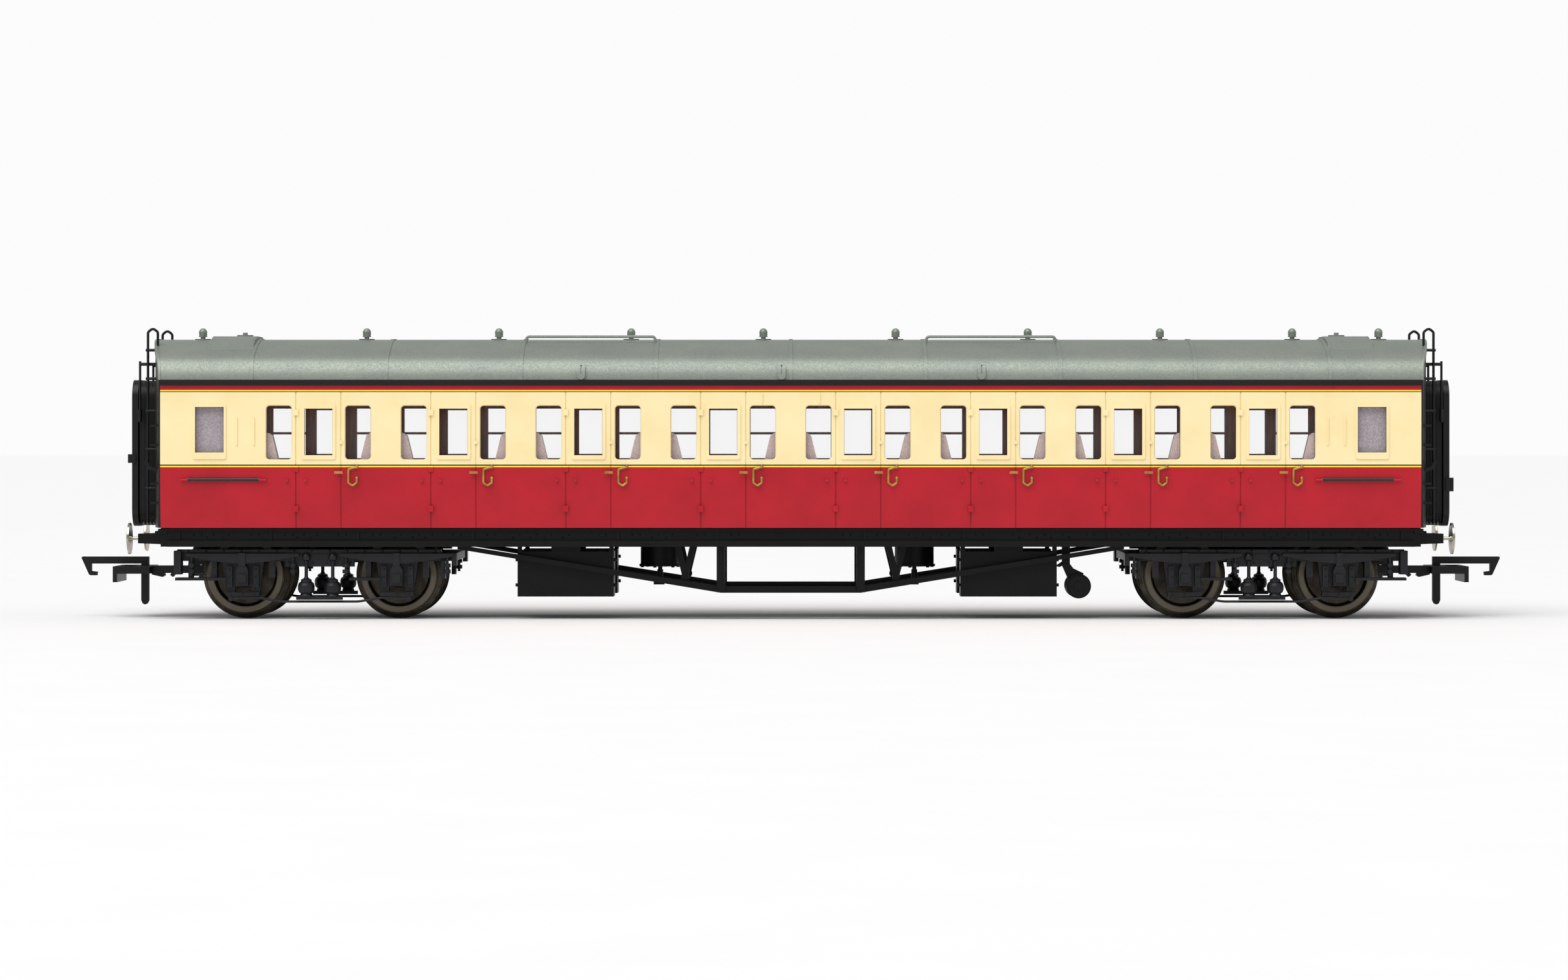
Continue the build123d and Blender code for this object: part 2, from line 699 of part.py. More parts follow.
def coupling_bar():
    """A bumper loop on a flat shank with a pivot eye at its rear."""
    z = (coupling_low, coupling_high)
    bar = block((123.5, 124.3), (-6.2, 6.2), (6.5, coupling_high))
    bar += block((117.6, 120.5), (-6.2, 6.2), z)
    for side in (-1, 1):
        bar += block((120.4, 123.6), sorted((side * 5.3, side * 6.2)), z)
    bar += block((coupling_pivot_x, 118.0), (-1.5, 1.5), z)
    bar += rod((coupling_pivot_x, 0, z[0]), (coupling_pivot_x, 0, z[1]), 1.5)
    bar += side_plate([(113.2, 8.1), (114.0, 7.3), (114.5, 7.7), (114.2, 8.1)], (-0.8, 0.8))
    bar += side_plate([(115.6, 8.1), (115.4, 7.6), (115.9, 7.3), (117.9, 7.75), (117.9, 8.1)],
                      (-0.8, 0.8))
    bar -= rod((coupling_pivot_x, 0, 7), (coupling_pivot_x, 0, 10), 0.78)
    bar -= block((117.9, 120.6), (-0.6, 0.6), (6, 10))
    bar += rod((hook_pivot_x, -0.7, hook_pivot_z), (hook_pivot_x, 0.7, hook_pivot_z), 0.3)
    return bar


def coupling_hook():
    """The lifting hook with its dropper, hung on a pin across the coupling bar."""
    outline = [(118.42, 11.07), (130.7, 11.07), (130.9, 10.85), (129.5, 7.75), (129.2, 7.6),
               (128.0, 7.6), (127.9, 8.25), (129.0, 8.4), (129.0, 9.76), (119.87, 9.76),
               (119.87, 3.0), (119.6, 2.4), (119.15, 2.2), (118.7, 2.4), (118.42, 3.0)]
    plate = side_plate(outline, (-0.45, 0.45))
    return plate - rod((hook_pivot_x, -1, hook_pivot_z), (hook_pivot_x, 1, hook_pivot_z), 0.36)


# ---- bogies ------------------------------------------------------------------------
# A bogie is drawn about its own pivot, with its coupling end towards -X.

axle_places = (-axle_offset, axle_offset)


def bogie_side():
    """One side frame: the main beam, the W-irons, end blocks and step boards."""
    y = (-frame_outer, -frame_inner)
    side = block((-26.0, 20.0), y, (10.6, 12.7)) + block((19.0, 24.8), y, (10.6, 12.0))
    side += block((-26.4, -25.1), (-15.5, -frame_inner), (8.2, 12.5))
    side += block((24.1, 24.9), (-15.2, -frame_inner), (9.8, 12.0))
    side += block((-25.2, 22.0), (-14.6, -frame_inner), (12.2, 12.7))
    for axle in axle_places:
        iron = [(axle - 3.8, 10.7), (axle - 2.9, 4.3), (axle + 2.9, 4.3), (axle + 3.8, 10.7)]
        side += side_plate(iron, y)
        side -= block((axle - 1.5, axle + 1.5), (-20, -10), (4.95, 6.0))
        side += block((axle - 3.0, axle + 3.0), (-14.3, -frame_inner), (4.2, 4.95))
        for lean in (-1, 1):
            x = axle + lean * 2.4
            side += block((x - 0.5, x + 0.5), (-14.4, -frame_outer), (5.9, 9.7))
            x = axle + lean * 5.2
            side += block((x - 0.5, x + 0.5), (-14.2, -frame_inner), (7.6, 10.7))
        side += block((axle - 8.6, axle - 2.9), (-15.2, -frame_inner), (7.1, 7.6))
        side -= rod((axle, -13.35, axle_z), (axle, -11.0, axle_z), cup_radius)
    side += block((-26.2, -22.0), (-15.2, -frame_inner), (7.1, 7.6))
    side += block((-23.9, -23.1), (-14.2, -frame_inner), (7.5, 10.7))
    side += block((22.0, 22.8), (-14.6, -frame_inner), (7.4, 10.7))
    side += block((-6.3, 6.3), (-14.4, -frame_outer), (9.6, 12.3))
    return side


def bogie_frame():
    """Both side frames joined by a bolster, two end bars and the coupling's tongue."""
    side = bogie_side()
    frame = side + mirror_y(side)
    frame += block((-5.0, 5.0), (-12.5, 12.5), (10.4, boss_bottom - 0.1))
    frame += block((-25.6, -24.2), (-12.5, 12.5), (10.6, 12.3))
    frame += block((23.4, 24.6), (-12.5, 12.5), (10.6, 12.0))
    tongue_x = bogie_x - coupling_pivot_x
    frame += block((tongue_x - 2.0, tongue_x + 2.0), (-2.2, 2.2), (9.7, 10.8))
    frame += block((-25.0, tongue_x + 2.0), (-2.2, 2.2), (10.6, 11.6))
    pin = rod((tongue_x, 0, 7.9), (tongue_x, 0, 10.0), 0.7)
    pin += rod((tongue_x, 0, 7.2), (tongue_x, 0, 7.75), 1.3)
    pin += rod((tongue_x, 0, 7.6), (tongue_x, 0, 8.0), 0.7)
    frame += pin
    frame -= rod((0, 0, 9), (0, 0, 13), pivot_radius + 0.08)
    return frame


def leaf_spring(axle):
    """A flat-topped leaf spring with its buckle, bent down in the middle."""
    outline = [(axle - 10.3, 12.0), (axle - 10.3, 11.5), (axle - 5.0, 10.6), (axle, 10.1),
               (axle + 5.0, 10.6), (axle + 10.3, 11.5), (axle + 10.3, 12.0)]
    spring = side_plate(outline, (-15.5, -14.65))
    spring += block((axle - 0.6, axle + 0.6), (-15.8, -frame_outer), (9.75, 12.1))
    for lean in (-1, 1):
        x = axle + lean * 9.2
        spring += rod((x, -15.1, 7.9), (x, -15.1, 11.7), 0.25)
        for z in (8.4, 9.5):
            spring += rod((x, -15.1, z), (x, -15.1, z + 0.7), 0.62)
    return spring


def axlebox(axle):
    """A box with a sloping cap and a square cover on its face."""
    outline = [(axle - 1.1, 6.2), (axle + 1.1, 6.2), (axle + 1.1, 8.9), (axle + 0.7, 9.75),
               (axle - 0.7, 9.75), (axle - 1.1, 8.9)]
    box = side_plate(outline, (-15.6, -frame_outer))
    box += block((axle - 0.75, axle + 0.75), (-16.0, -15.5), (6.7, 8.3))
    return box


def axleboxes():
    made = []
    for axle in axle_places:
        made += both_sides(leaf_spring(axle) + axlebox(axle))
    return made


def bolster_springs():
    """Bell-shaped springs hung on rods from the bolster's ends, in a spring plank."""
    bell = [(0, 4.1), (1.0, 4.1), (1.15, 4.4), (1.0, 4.75), (1.35, 5.0), (1.52, 5.5), (1.52, 6.2),
            (1.35, 6.65), (1.0, 6.9), (0.95, 7.3), (0.5, 7.5), (0.32, 7.8), (0.32, 10.6),
            (0.75, 10.9), (0.8, 11.5), (0.6, 12.0), (0, 12.1)]
    turned = revolve(Plane.XZ * make_face(Polyline(*bell, close=True)), Axis.Z)
    made = [Pos(x, -15.0, 0) * turned for x in (-2.4, 2.4)]
    plank = block((-4.2, 4.2), (-15.5, -14.5), (3.6, 4.25))
    hang = block((-3.6, 3.6), (-14.6, -frame_outer - 0.8), (10.9, 11.9))
    group = made[0] + made[1] + plank + hang
    return both_sides(group)


def brake_ties():
    """A thin tie rod low down between the W-irons, with its end bosses."""
    y = -14.0
    reach = axle_offset - 2.6
    tie = wire([(-reach, y, 4.0), (-7.0, y, 3.25), (7.0, y, 3.25), (reach, y, 4.0)], 0.22, 6.0)
    for x in (-axle_offset - 2.2, axle_offset + 2.2):
        tie_end = rod((x, y - 0.5, 3.75), (x, y + 0.5, 3.75), 0.45)
        reach_rod = rod((x, y, 3.75), (math.copysign(reach, x), y, 4.0), 0.22)
        tie += tie_end + reach_rod
    return both_sides(tie)


def axle_cups():
    """Brass cups, coned inside for the axle's points."""
    made = []
    for axle in axle_places:
        cup = rod((axle, -13.35, axle_z), (axle, -12.0, axle_z), cup_radius)
        cup -= rod((axle, -12.27, axle_z), (axle, -11.9, axle_z), 1.08)
        cone = Pos(axle, -12.685, axle_z) * Rot(90, 0, 0) * Cone(1.08, 0.17, 0.83)
        made += both_sides(cup - cone)
    return made


def wheel_pair():
    """Two flanged wheels with a thick rim, a thin dished web and a boss."""
    back, face = wheel_back, wheel_back + wheel_width
    outline = [(back, 1.0), (back, 7.75), (back + 0.25, flange_radius), (back + 0.5, 7.85),
               (back + 0.85, tread_radius + 0.1), (back + 1.1, tread_radius), (face - 0.15, 6.95),
               (face, 6.8), (face, 5.75), (face - 0.3, 5.7), (face - 0.95, 5.3), (face - 0.85, 2.4),
               (face - 0.2, 1.95), (face, 1.8), (face, 1.0)]
    wheel = revolve(make_face(Polyline(*outline, close=True)), Axis.X)
    wheel = Pos(0, 0, axle_z) * Rot(0, 0, 90) * wheel
    return both_sides(wheel)


def axle():
    tip = 13.0
    outline = [(0, 0), (0, 1.0), (12.2, 1.0), (tip, 0.12), (tip, 0)]
    half = revolve(make_face(Polyline(*outline, close=True)), Axis.X)
    half = Pos(0, 0, axle_z) * Rot(0, 0, 90) * half
    return half + mirror_y(half)


# ---- writing the sub-parts -----------------------------------------------------------

os.makedirs("parts", exist_ok=True)

save("body_shell", body_shell())
save("roof", roof())
save("roof_ventilators", roof_ventilators())
save("roof_side_ventilators", roof_side_ventilators())
save("water_tank_covers", water_tank_covers())
save("tank_filler_caps", tank_filler_caps())
save("roof_rails", roof_rails())
save("glazing_compartment_side", glazing(-1))
save("glazing_corridor_side", glazing(1))
save("toilet_windows", toilet_panes())
grabs = [grab_handle(-1, centre + 5.45) for centre in bay_centres]
grabs += [grab_handle(1, end * x + 5.45) for end in (-1, 1) for x in corridor_door_x]
save("grab_handles", grabs)
turns = [door_handle(-1, centre + door_width / 2 - 0.4) for centre in bay_centres]
turns += [door_handle(1, end * x - door_width / 2 + 0.4) for end in (-1, 1) for x in corridor_door_x]
save("door_handles", turns)
save("side_handrails", side_handrails())
save("door_stops", door_stops())
save("interior_floor", block((-108, 108), (-16.4, 16.4), interior_floor_z))
save("seats", seats())
save("compartment_walls", compartment_walls())
save("corridor_wall", corridor_wall())
save("ballast_weight", block((-75, 75), (-12, 12), (floor_top, interior_floor_z[0])))
save("chassis_floor", chassis_floor())
save("pivot_screws", pivot_screws())
save("solebars", both_sides(solebar()))
save("headstocks", both_ends(headstock()))
save("truss_rods", truss_rods())
save("truss_posts", truss_posts())
save("battery_boxes", battery_boxes())
save("vacuum_cylinders", vacuum_cylinders())
save("dynamo", dynamo())
save("gangway_bellows", gangway_bellows())
save("gangway_faceplates", gangway_faceplates())
save("end_pipes", end_pipes())
save("end_steps", end_steps())
save("buffer_housings", all_corners(buffer_housing()))
save("buffer_springs", all_corners(buffer_spring()))

for end, end_name in side_names.items():
    for side, side_name in ((-1, "near"), (1, "far")):
        placed = Pos(0, side * buffer_y, buffer_z) * buffer()
        save(f"buffer_{end_name}_{side_name}", placed if end > 0 else mirror_x(placed))

for end, end_name in side_names.items():
    place = Pos(end * bogie_x, 0, 0) * Rot(0, 0, 0 if end < 0 else 180)
    save(f"bogie_{end_name}_frame", place * bogie_frame())
    save(f"bogie_{end_name}_axleboxes", [place * piece for piece in axleboxes()])
    save(f"bogie_{end_name}_bolster_springs", [place * piece for piece in bolster_springs()])
    save(f"bogie_{end_name}_brake_ties", [place * piece for piece in brake_ties()])
    save(f"bogie_{end_name}_axle_cups", [place * piece for piece in axle_cups()])
    for position, offset in (("outer", axle_offset), ("inner", -axle_offset)):
        x = end * (bogie_x + offset)
        save(f"wheels_{end_name}_{position}", [Pos(x, 0, 0) * wheel for wheel in wheel_pair()])
        save(f"axle_{end_name}_{position}", Pos(x, 0, 0) * axle())
    bar, hook = coupling_bar(), coupling_hook()
    save(f"coupling_bar_{end_name}", bar if end > 0 else mirror_x(bar))
    save(f"coupling_hook_{end_name}", hook if end > 0 else mirror_x(hook))
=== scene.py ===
# %% [markdown]
# # A model passenger coach, dressed in Blender
# The coach is already built as solids: a moulded body and roof, glazing, seats, an
# underframe and two bogies on rolling wheelsets. This lesson gives every solid its
# finish, adds the small repeated pieces that a moulding tool would carry, such as rivets
# and bolts, draws the gangways' folds and the buffers' springs, and sets the coach under
# a soft studio light. The frame is in metres, and mm turns millimetres into them.

# %% The frame and its box
import json
import math

import bpy
import bmesh
from mathutils import Matrix, Vector


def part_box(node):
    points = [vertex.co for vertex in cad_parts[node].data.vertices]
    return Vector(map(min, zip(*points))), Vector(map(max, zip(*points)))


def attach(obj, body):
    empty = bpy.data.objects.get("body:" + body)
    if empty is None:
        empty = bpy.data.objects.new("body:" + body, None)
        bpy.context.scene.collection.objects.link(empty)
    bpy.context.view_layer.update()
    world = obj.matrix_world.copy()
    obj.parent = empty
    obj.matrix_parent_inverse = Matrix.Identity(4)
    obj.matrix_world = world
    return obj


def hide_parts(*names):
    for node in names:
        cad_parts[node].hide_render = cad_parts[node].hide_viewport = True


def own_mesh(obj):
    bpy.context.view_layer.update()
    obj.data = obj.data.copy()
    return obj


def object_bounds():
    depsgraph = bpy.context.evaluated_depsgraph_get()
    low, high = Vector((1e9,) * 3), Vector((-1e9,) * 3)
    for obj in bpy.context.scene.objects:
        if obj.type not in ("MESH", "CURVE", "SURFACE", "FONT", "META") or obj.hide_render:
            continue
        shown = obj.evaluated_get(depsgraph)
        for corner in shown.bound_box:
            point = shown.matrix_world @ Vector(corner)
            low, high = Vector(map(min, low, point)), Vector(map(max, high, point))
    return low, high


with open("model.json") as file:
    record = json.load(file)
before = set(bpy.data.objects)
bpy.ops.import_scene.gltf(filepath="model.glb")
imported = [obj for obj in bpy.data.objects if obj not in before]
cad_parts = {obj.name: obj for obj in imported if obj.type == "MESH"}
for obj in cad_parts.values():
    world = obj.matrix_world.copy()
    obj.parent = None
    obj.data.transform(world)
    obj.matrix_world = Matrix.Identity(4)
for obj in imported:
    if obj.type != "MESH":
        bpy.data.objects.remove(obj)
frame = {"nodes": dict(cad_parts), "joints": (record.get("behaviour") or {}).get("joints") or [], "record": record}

mm = 0.001
nodes = frame["nodes"]
cad_low, cad_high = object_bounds()
size = cad_high - cad_low
print("the coach is", [round(length / mm, 1) for length in size], "mm long, wide and high")

# %% [markdown]
# ## Where we stand
# A coach is usually shown square on, from far enough away that its ends hardly lean
# outwards. A long lens does that. The lens looks level, at the height of the windows'
# middle, and a small shift of the film moves the coach in the picture without tilting it.

# %% The camera
side_y = -18 * mm                 # the compartment side's flat face
eye_height = 34 * mm
eye_distance = 850 * mm           # from that face
view_width = 283.5 * mm           # the length of coach that fills the picture
camera_data = bpy.data.cameras.new("studio_camera")
camera_data.sensor_width = 36.0
camera_data.lens = camera_data.sensor_width * eye_distance / view_width
camera_data.shift_x = -0.0043
camera_data.shift_y = -0.0368
camera_data.clip_start = 0.05
camera_data.clip_end = 20.0
camera = bpy.data.objects.new("studio_camera", camera_data)
bpy.context.scene.collection.objects.link(camera)
camera.location = (0, side_y - eye_distance, eye_height)
camera.rotation_euler = (math.radians(90), 0, 0)
bpy.context.scene.camera = camera
print(f"the lens is {camera_data.lens:.1f} mm long")

# %% [markdown]
# ## Light and floor
# Painted models look best under one large soft light above and in front, in a pale room.
# A sun lamp with a very wide disc is such a light, and it is equally bright over the whole
# floor. The room is dim as a lamp and bright as a backdrop, so that white still shows
# through the windows while the shadows keep their depth. Two small lamps add glints.

# %% The room and its lamps
scene = bpy.context.scene
scene.view_settings.view_transform = "Standard"
world = bpy.data.worlds.new("pale_room")
scene.world = world
world.use_nodes = True
room_light = world.node_tree.nodes["Background"]
room_light.inputs["Color"].default_value = (1.0, 1.0, 1.0, 1.0)
room_light.inputs["Strength"].default_value = 0.42
backdrop = world.node_tree.nodes.new("ShaderNodeBackground")
backdrop.inputs["Color"].default_value = (0.97, 0.97, 0.975, 1.0)
seen = world.node_tree.nodes.new("ShaderNodeLightPath")
choice = world.node_tree.nodes.new("ShaderNodeMixShader")
world.node_tree.links.new(seen.outputs["Is Camera Ray"], choice.inputs[0])
world.node_tree.links.new(room_light.outputs[0], choice.inputs[1])
world.node_tree.links.new(backdrop.outputs[0], choice.inputs[2])
world.node_tree.links.new(choice.outputs[0], world.node_tree.nodes["World Output"].inputs["Surface"])


def soft_lamp(name, place, target, width, watts):
    """A square area lamp that faces a point."""
    data = bpy.data.lights.new(name, "AREA")
    data.shape = "SQUARE"
    data.size = width
    data.energy = watts
    lamp = bpy.data.objects.new(name, data)
    scene.collection.objects.link(lamp)
    lamp.location = place
    lamp.rotation_euler = (Vector(target) - Vector(place)).to_track_quat("-Z", "Y").to_euler()
    return lamp


coach_middle = (0, 0, 30 * mm)
soft_lamp("left_glint", (-0.7, -0.6, 0.5), coach_middle, 0.25, 0.5)
soft_lamp("right_glint", (0.9, -0.5, 0.35), coach_middle, 0.25, 0.35)
ceiling_data = bpy.data.lights.new("ceiling", "SUN")
ceiling_data.angle = math.radians(55)
ceiling_data.energy = 2.3
ceiling = bpy.data.objects.new("ceiling", ceiling_data)
scene.collection.objects.link(ceiling)
ceiling.rotation_euler = Vector((-0.25, -0.55, 1.0)).to_track_quat("Z", "Y").to_euler()

# %% [markdown]
# ## Small tools for finishes
# Every finish below is a handful of shader nodes on the object's own coordinates. Because
# each piece sits at the origin with its place in its mesh, those coordinates are the
# coach's own metres, so a painted line can be asked for by its height above the rails.

# %% Helpers for shader nodes
def linear(hex_colour):
    """A colour as it is mixed in light, from the usual six hex digits."""
    shares = [int(hex_colour[start:start + 2], 16) / 255 for start in (0, 2, 4)]
    bent = [((s + 0.055) / 1.055) ** 2.4 if s > 0.04045 else s / 12.92 for s in shares]
    return (*bent, 1.0)


def plug(tree, socket, value):
    """Feed a socket from another node's output, or with a plain value."""
    if isinstance(value, bpy.types.NodeSocket):
        tree.links.new(value, socket)
    else:
        socket.default_value = value


def reckon(tree, operation, *values):
    step = tree.nodes.new("ShaderNodeMath")
    step.operation = operation
    for socket, value in zip(step.inputs, values):
        plug(tree, socket, value)
    return step.outputs[0]


def blend(tree, share, first, second):
    """Mix two colours by a share from 0 to 1."""
    step = tree.nodes.new("ShaderNodeMix")
    step.data_type = "RGBA"
    plug(tree, step.inputs[0], share)
    plug(tree, step.inputs[6], first)
    plug(tree, step.inputs[7], second)
    return step.outputs[2]


def stretch_range(tree, value, low, high):
    step = tree.nodes.new("ShaderNodeMapRange")
    plug(tree, step.inputs["Value"], value)
    step.inputs["From Min"].default_value = 0.3
    step.inputs["From Max"].default_value = 0.7
    step.inputs["To Min"].default_value = low
    step.inputs["To Max"].default_value = high
    return step.outputs[0]


def place_of(tree, stretch=(1, 1, 1)):
    """The object's own coordinates, squeezed or stretched along an axis."""
    source = tree.nodes.new("ShaderNodeTexCoord").outputs["Object"]
    if stretch == (1, 1, 1):
        return source
    step = tree.nodes.new("ShaderNodeMapping")
    tree.links.new(source, step.inputs["Vector"])
    step.inputs["Scale"].default_value = stretch
    return step.outputs[0]


def speckle(tree, place, grains_per_mm, detail=3.0):
    """Soft noise with a number of grains to the millimetre."""
    step = tree.nodes.new("ShaderNodeTexNoise")
    tree.links.new(place, step.inputs["Vector"])
    step.inputs["Scale"].default_value = grains_per_mm / mm
    step.inputs["Detail"].default_value = detail
    return step.outputs[0]


def relief(tree, height, depth_mm, strength=1.0):
    step = tree.nodes.new("ShaderNodeBump")
    step.inputs["Strength"].default_value = strength
    step.inputs["Distance"].default_value = depth_mm * mm
    tree.links.new(height, step.inputs["Height"])
    return step.outputs[0]


def coordinates_mm(tree):
    """X, Y and Z of the surface in millimetres, as three outputs."""
    split = tree.nodes.new("ShaderNodeSeparateXYZ")
    tree.links.new(place_of(tree), split.inputs[0])
    return [reckon(tree, "MULTIPLY", split.outputs[axis], 1 / mm) for axis in range(3)]


def new_finish(name):
    material = bpy.data.materials.new(name)
    material.use_nodes = True
    return material, material.node_tree, material.node_tree.nodes["Principled BSDF"]


# %% [markdown]
# ## A general finish
# Moulded plastic and sprayed paint share the same small faults: the colour drifts a
# little over a few millimetres, the shine is uneven, and the surface has a fine grain.
# One function makes that for any colour, and the special finishes build on it.

# %% Moulded, sprayed and metal surfaces
def sprayed(name, colour, shade, rough, grain=6.0, depth=0.012, metallic=0.0, drift=0.25, gloss=0.5):
    """A finish that drifts between a colour and its shade, with a fine-grained surface."""
    material, tree, shader = new_finish(name)
    place = place_of(tree)
    cloud = stretch_range(tree, speckle(tree, place, drift), 0.0, 1.0)
    fine = speckle(tree, place, grain)
    tint = blend(tree, cloud, colour, shade)
    dust = blend(tree, stretch_range(tree, fine, 0.0, 0.18), tint, shade)
    plug(tree, shader.inputs["Base Color"], dust)
    plug(tree, shader.inputs["Roughness"], stretch_range(tree, fine, rough - 0.06, rough + 0.08))
    plug(tree, shader.inputs["Normal"], relief(tree, fine, depth))
    shader.inputs["Metallic"].default_value = metallic
    shader.inputs["Specular IOR Level"].default_value = gloss
    return material


underframe_black = sprayed("underframe_black", linear("0B0B0D"), linear("060607"), 0.42, gloss=0.2)
bogie_black = sprayed("bogie_black", linear("15171C"), linear("0B0C0F"), 0.42, grain=5.0, depth=0.02,
                      gloss=0.35)
fitting_black = sprayed("fitting_black", linear("0D0D0F"), linear("070708"), 0.38, gloss=0.3)
gilt = sprayed("gilt", linear("C9A052"), linear("9A7430"), 0.34, metallic=0.55, drift=0.8)
brass = sprayed("brass", linear("C8A050"), linear("94702E"), 0.3, metallic=1.0, drift=0.8)
bright_steel = sprayed("bright_steel", linear("B9B6B0"), linear("8B8883"), 0.32, metallic=1.0)
crimson_fitting = sprayed("crimson_fitting", linear("B3182C"), linear("9E1528"), 0.38)
print("plain finishes:", len(bpy.data.materials))

# %% [markdown]
# ## The livery
# The sides are cream above crimson. A fine black line with a yellow one under it runs
# along the waist, and another pair runs under the eaves, where a strip of crimson and
# the black gutter close the side. The bowed ends are black. All of these are heights and
# lengths on one moulding, so the paint is worked out from the surface's own X, Y and Z.

# %% Cream, crimson and lining
cream, cream_shade = linear("F9E7B4"), linear("F4DFA8")
crimson, crimson_shade = linear("B81526"), linear("AB1223")
lining_yellow, lining_black = linear("F4E04A"), linear("15120F")
# A dark brown painted into the window reveals: painted shade, with the look of the glazing's refracted edge.
reveal_shade_brown = linear("4B2E24")
waist_black = (27.95, 28.17)      # heights above the rails, in millimetres
waist_yellow = (27.70, 27.95)
eaves_black = (41.27, 41.41)
eaves_yellow = (41.41, 41.66)
eaves_crimson = 41.66
gutter_foot = 42.48
window_heights = (28.6, 41.0)
reveal_depth = 17.78              # from the centre line to where a window's reveal starts, which gets the painted dark brown shade
end_start = 114.02                # from the middle to where the bowed end begins


def within(tree, value, low, high):
    """1 where a value lies between two limits, and 0 elsewhere."""
    return reckon(tree, "COMPARE", value, (low + high) / 2, (high - low) / 2)


def livery_colour(tree):
    x, y, z = coordinates_mm(tree)
    place = place_of(tree)
    cloud = stretch_range(tree, speckle(tree, place, 0.15), 0.0, 1.0)
    cream_paint = blend(tree, cloud, cream, cream_shade)
    crimson_paint = blend(tree, cloud, crimson, crimson_shade)
    paint = blend(tree, reckon(tree, "GREATER_THAN", z, waist_black[0]), crimson_paint, cream_paint)
    paint = blend(tree, within(tree, z, *waist_black), paint, lining_black)
    paint = blend(tree, within(tree, z, *waist_yellow), paint, lining_yellow)
    paint = blend(tree, reckon(tree, "GREATER_THAN", z, eaves_crimson), paint, crimson_paint)
    paint = blend(tree, within(tree, z, *eaves_black), paint, lining_black)
    paint = blend(tree, within(tree, z, *eaves_yellow), paint, lining_yellow)
    # The window reveals get the dark brown as painted shade and refracted edge.
    inside = reckon(tree, "LESS_THAN", reckon(tree, "ABSOLUTE", y), reveal_depth)
    windows = within(tree, z, *window_heights)
    paint = blend(tree, reckon(tree, "MULTIPLY", inside, windows), paint, reveal_shade_brown)
    paint = blend(tree, reckon(tree, "GREATER_THAN", z, gutter_foot), paint, lining_black)
    ends = reckon(tree, "GREATER_THAN", reckon(tree, "ABSOLUTE", x), end_start)
    return blend(tree, ends, paint, lining_black)


livery, tree, shader = new_finish("livery")
fine = speckle(tree, place_of(tree), 3.5)
plug(tree, shader.inputs["Base Color"], livery_colour(tree))
plug(tree, shader.inputs["Roughness"], stretch_range(tree, fine, 0.34, 0.46))
plug(tree, shader.inputs["Normal"], relief(tree, fine, 0.012))
shader.inputs["Specular IOR Level"].default_value = 0.3
print("livery nodes:", len(tree.nodes))

# %% [markdown]
# ## The roof
# The roof is sprayed in a grey-green metallic paint whose flakes catch the light, so it
# gets a fine sparkle: tiny cells that differ in brightness, over a slow drift of colour.

# %% Grey-green roof paint
roof_paint, tree, shader = new_finish("roof_paint")
place = place_of(tree)
flakes = tree.nodes.new("ShaderNodeTexVoronoi")
tree.links.new(place, flakes.inputs["Vector"])
flakes.inputs["Scale"].default_value = 5.0 / mm
flake_share = tree.nodes.new("ShaderNodeSeparateXYZ")
tree.links.new(flakes.outputs["Color"], flake_share.inputs[0])
slow = stretch_range(tree, speckle(tree, place, 0.12), 0.0, 1.0)
grey_green = blend(tree, slow, linear("888F85"), linear("7E867E"))
sparkle = reckon(tree, "MULTIPLY", flake_share.outputs[0], 0.22)
plug(tree, shader.inputs["Base Color"], blend(tree, sparkle, grey_green, linear("AEB3AB")))
plug(tree, shader.inputs["Roughness"], stretch_range(tree, flake_share.outputs[1], 0.36, 0.52))
fine = speckle(tree, place, 4.0)
plug(tree, shader.inputs["Normal"], relief(tree, fine, 0.01))
shader.inputs["Metallic"].default_value = 0.35

# %% [markdown]
# ## Glass
# The compartment windows are thin clear plates. A clear plate mostly lets light straight
# through, so a small alpha with a bright gloss does more than bent light would. The
# toilet windows are frosted: grey with lilac specks and a rough face.

# %% Clear and frosted glazing
clear_glass, tree, shader = new_finish("clear_glass")
haze = speckle(tree, place_of(tree), 0.3)
plug(tree, shader.inputs["Base Color"], blend(tree, haze, linear("E6EAEC"), linear("D8DCDE")))
plug(tree, shader.inputs["Roughness"], stretch_range(tree, haze, 0.03, 0.1))
shader.inputs["Alpha"].default_value = 0.03
shader.inputs["Specular IOR Level"].default_value = 0.3

frosted_glass, tree, shader = new_finish("frosted_glass")
place = place_of(tree)
specks = speckle(tree, place, 4.5, detail=5.0)
plug(tree, shader.inputs["Base Color"],
     blend(tree, stretch_range(tree, specks, 0.0, 1.0), linear("8A8189"), linear("B3ABB2")))
plug(tree, shader.inputs["Roughness"], stretch_range(tree, specks, 0.45, 0.7))
plug(tree, shader.inputs["Normal"], relief(tree, specks, 0.03))

# %% [markdown]
# ## Inside the compartments
# The partitions are printed as dark brown wood, so their grain runs upwards: noise that
# is squeezed in Z makes long streaks. The seats are covered in a mauve moquette, which
# is a fine weave with a soft sheen.

# %% Wood panels and moquette
brown_wood, tree, shader = new_finish("brown_wood")
streaks = speckle(tree, place_of(tree, (1, 1, 0.08)), 2.2, detail=6.0)
plug(tree, shader.inputs["Base Color"],
     blend(tree, stretch_range(tree, streaks, 0.0, 1.0), linear("C4682A"), linear("98481A")))
plug(tree, shader.inputs["Roughness"], stretch_range(tree, streaks, 0.55, 0.7))
shader.inputs["Specular IOR Level"].default_value = 0.08
plug(tree, shader.inputs["Normal"], relief(tree, streaks, 0.02))

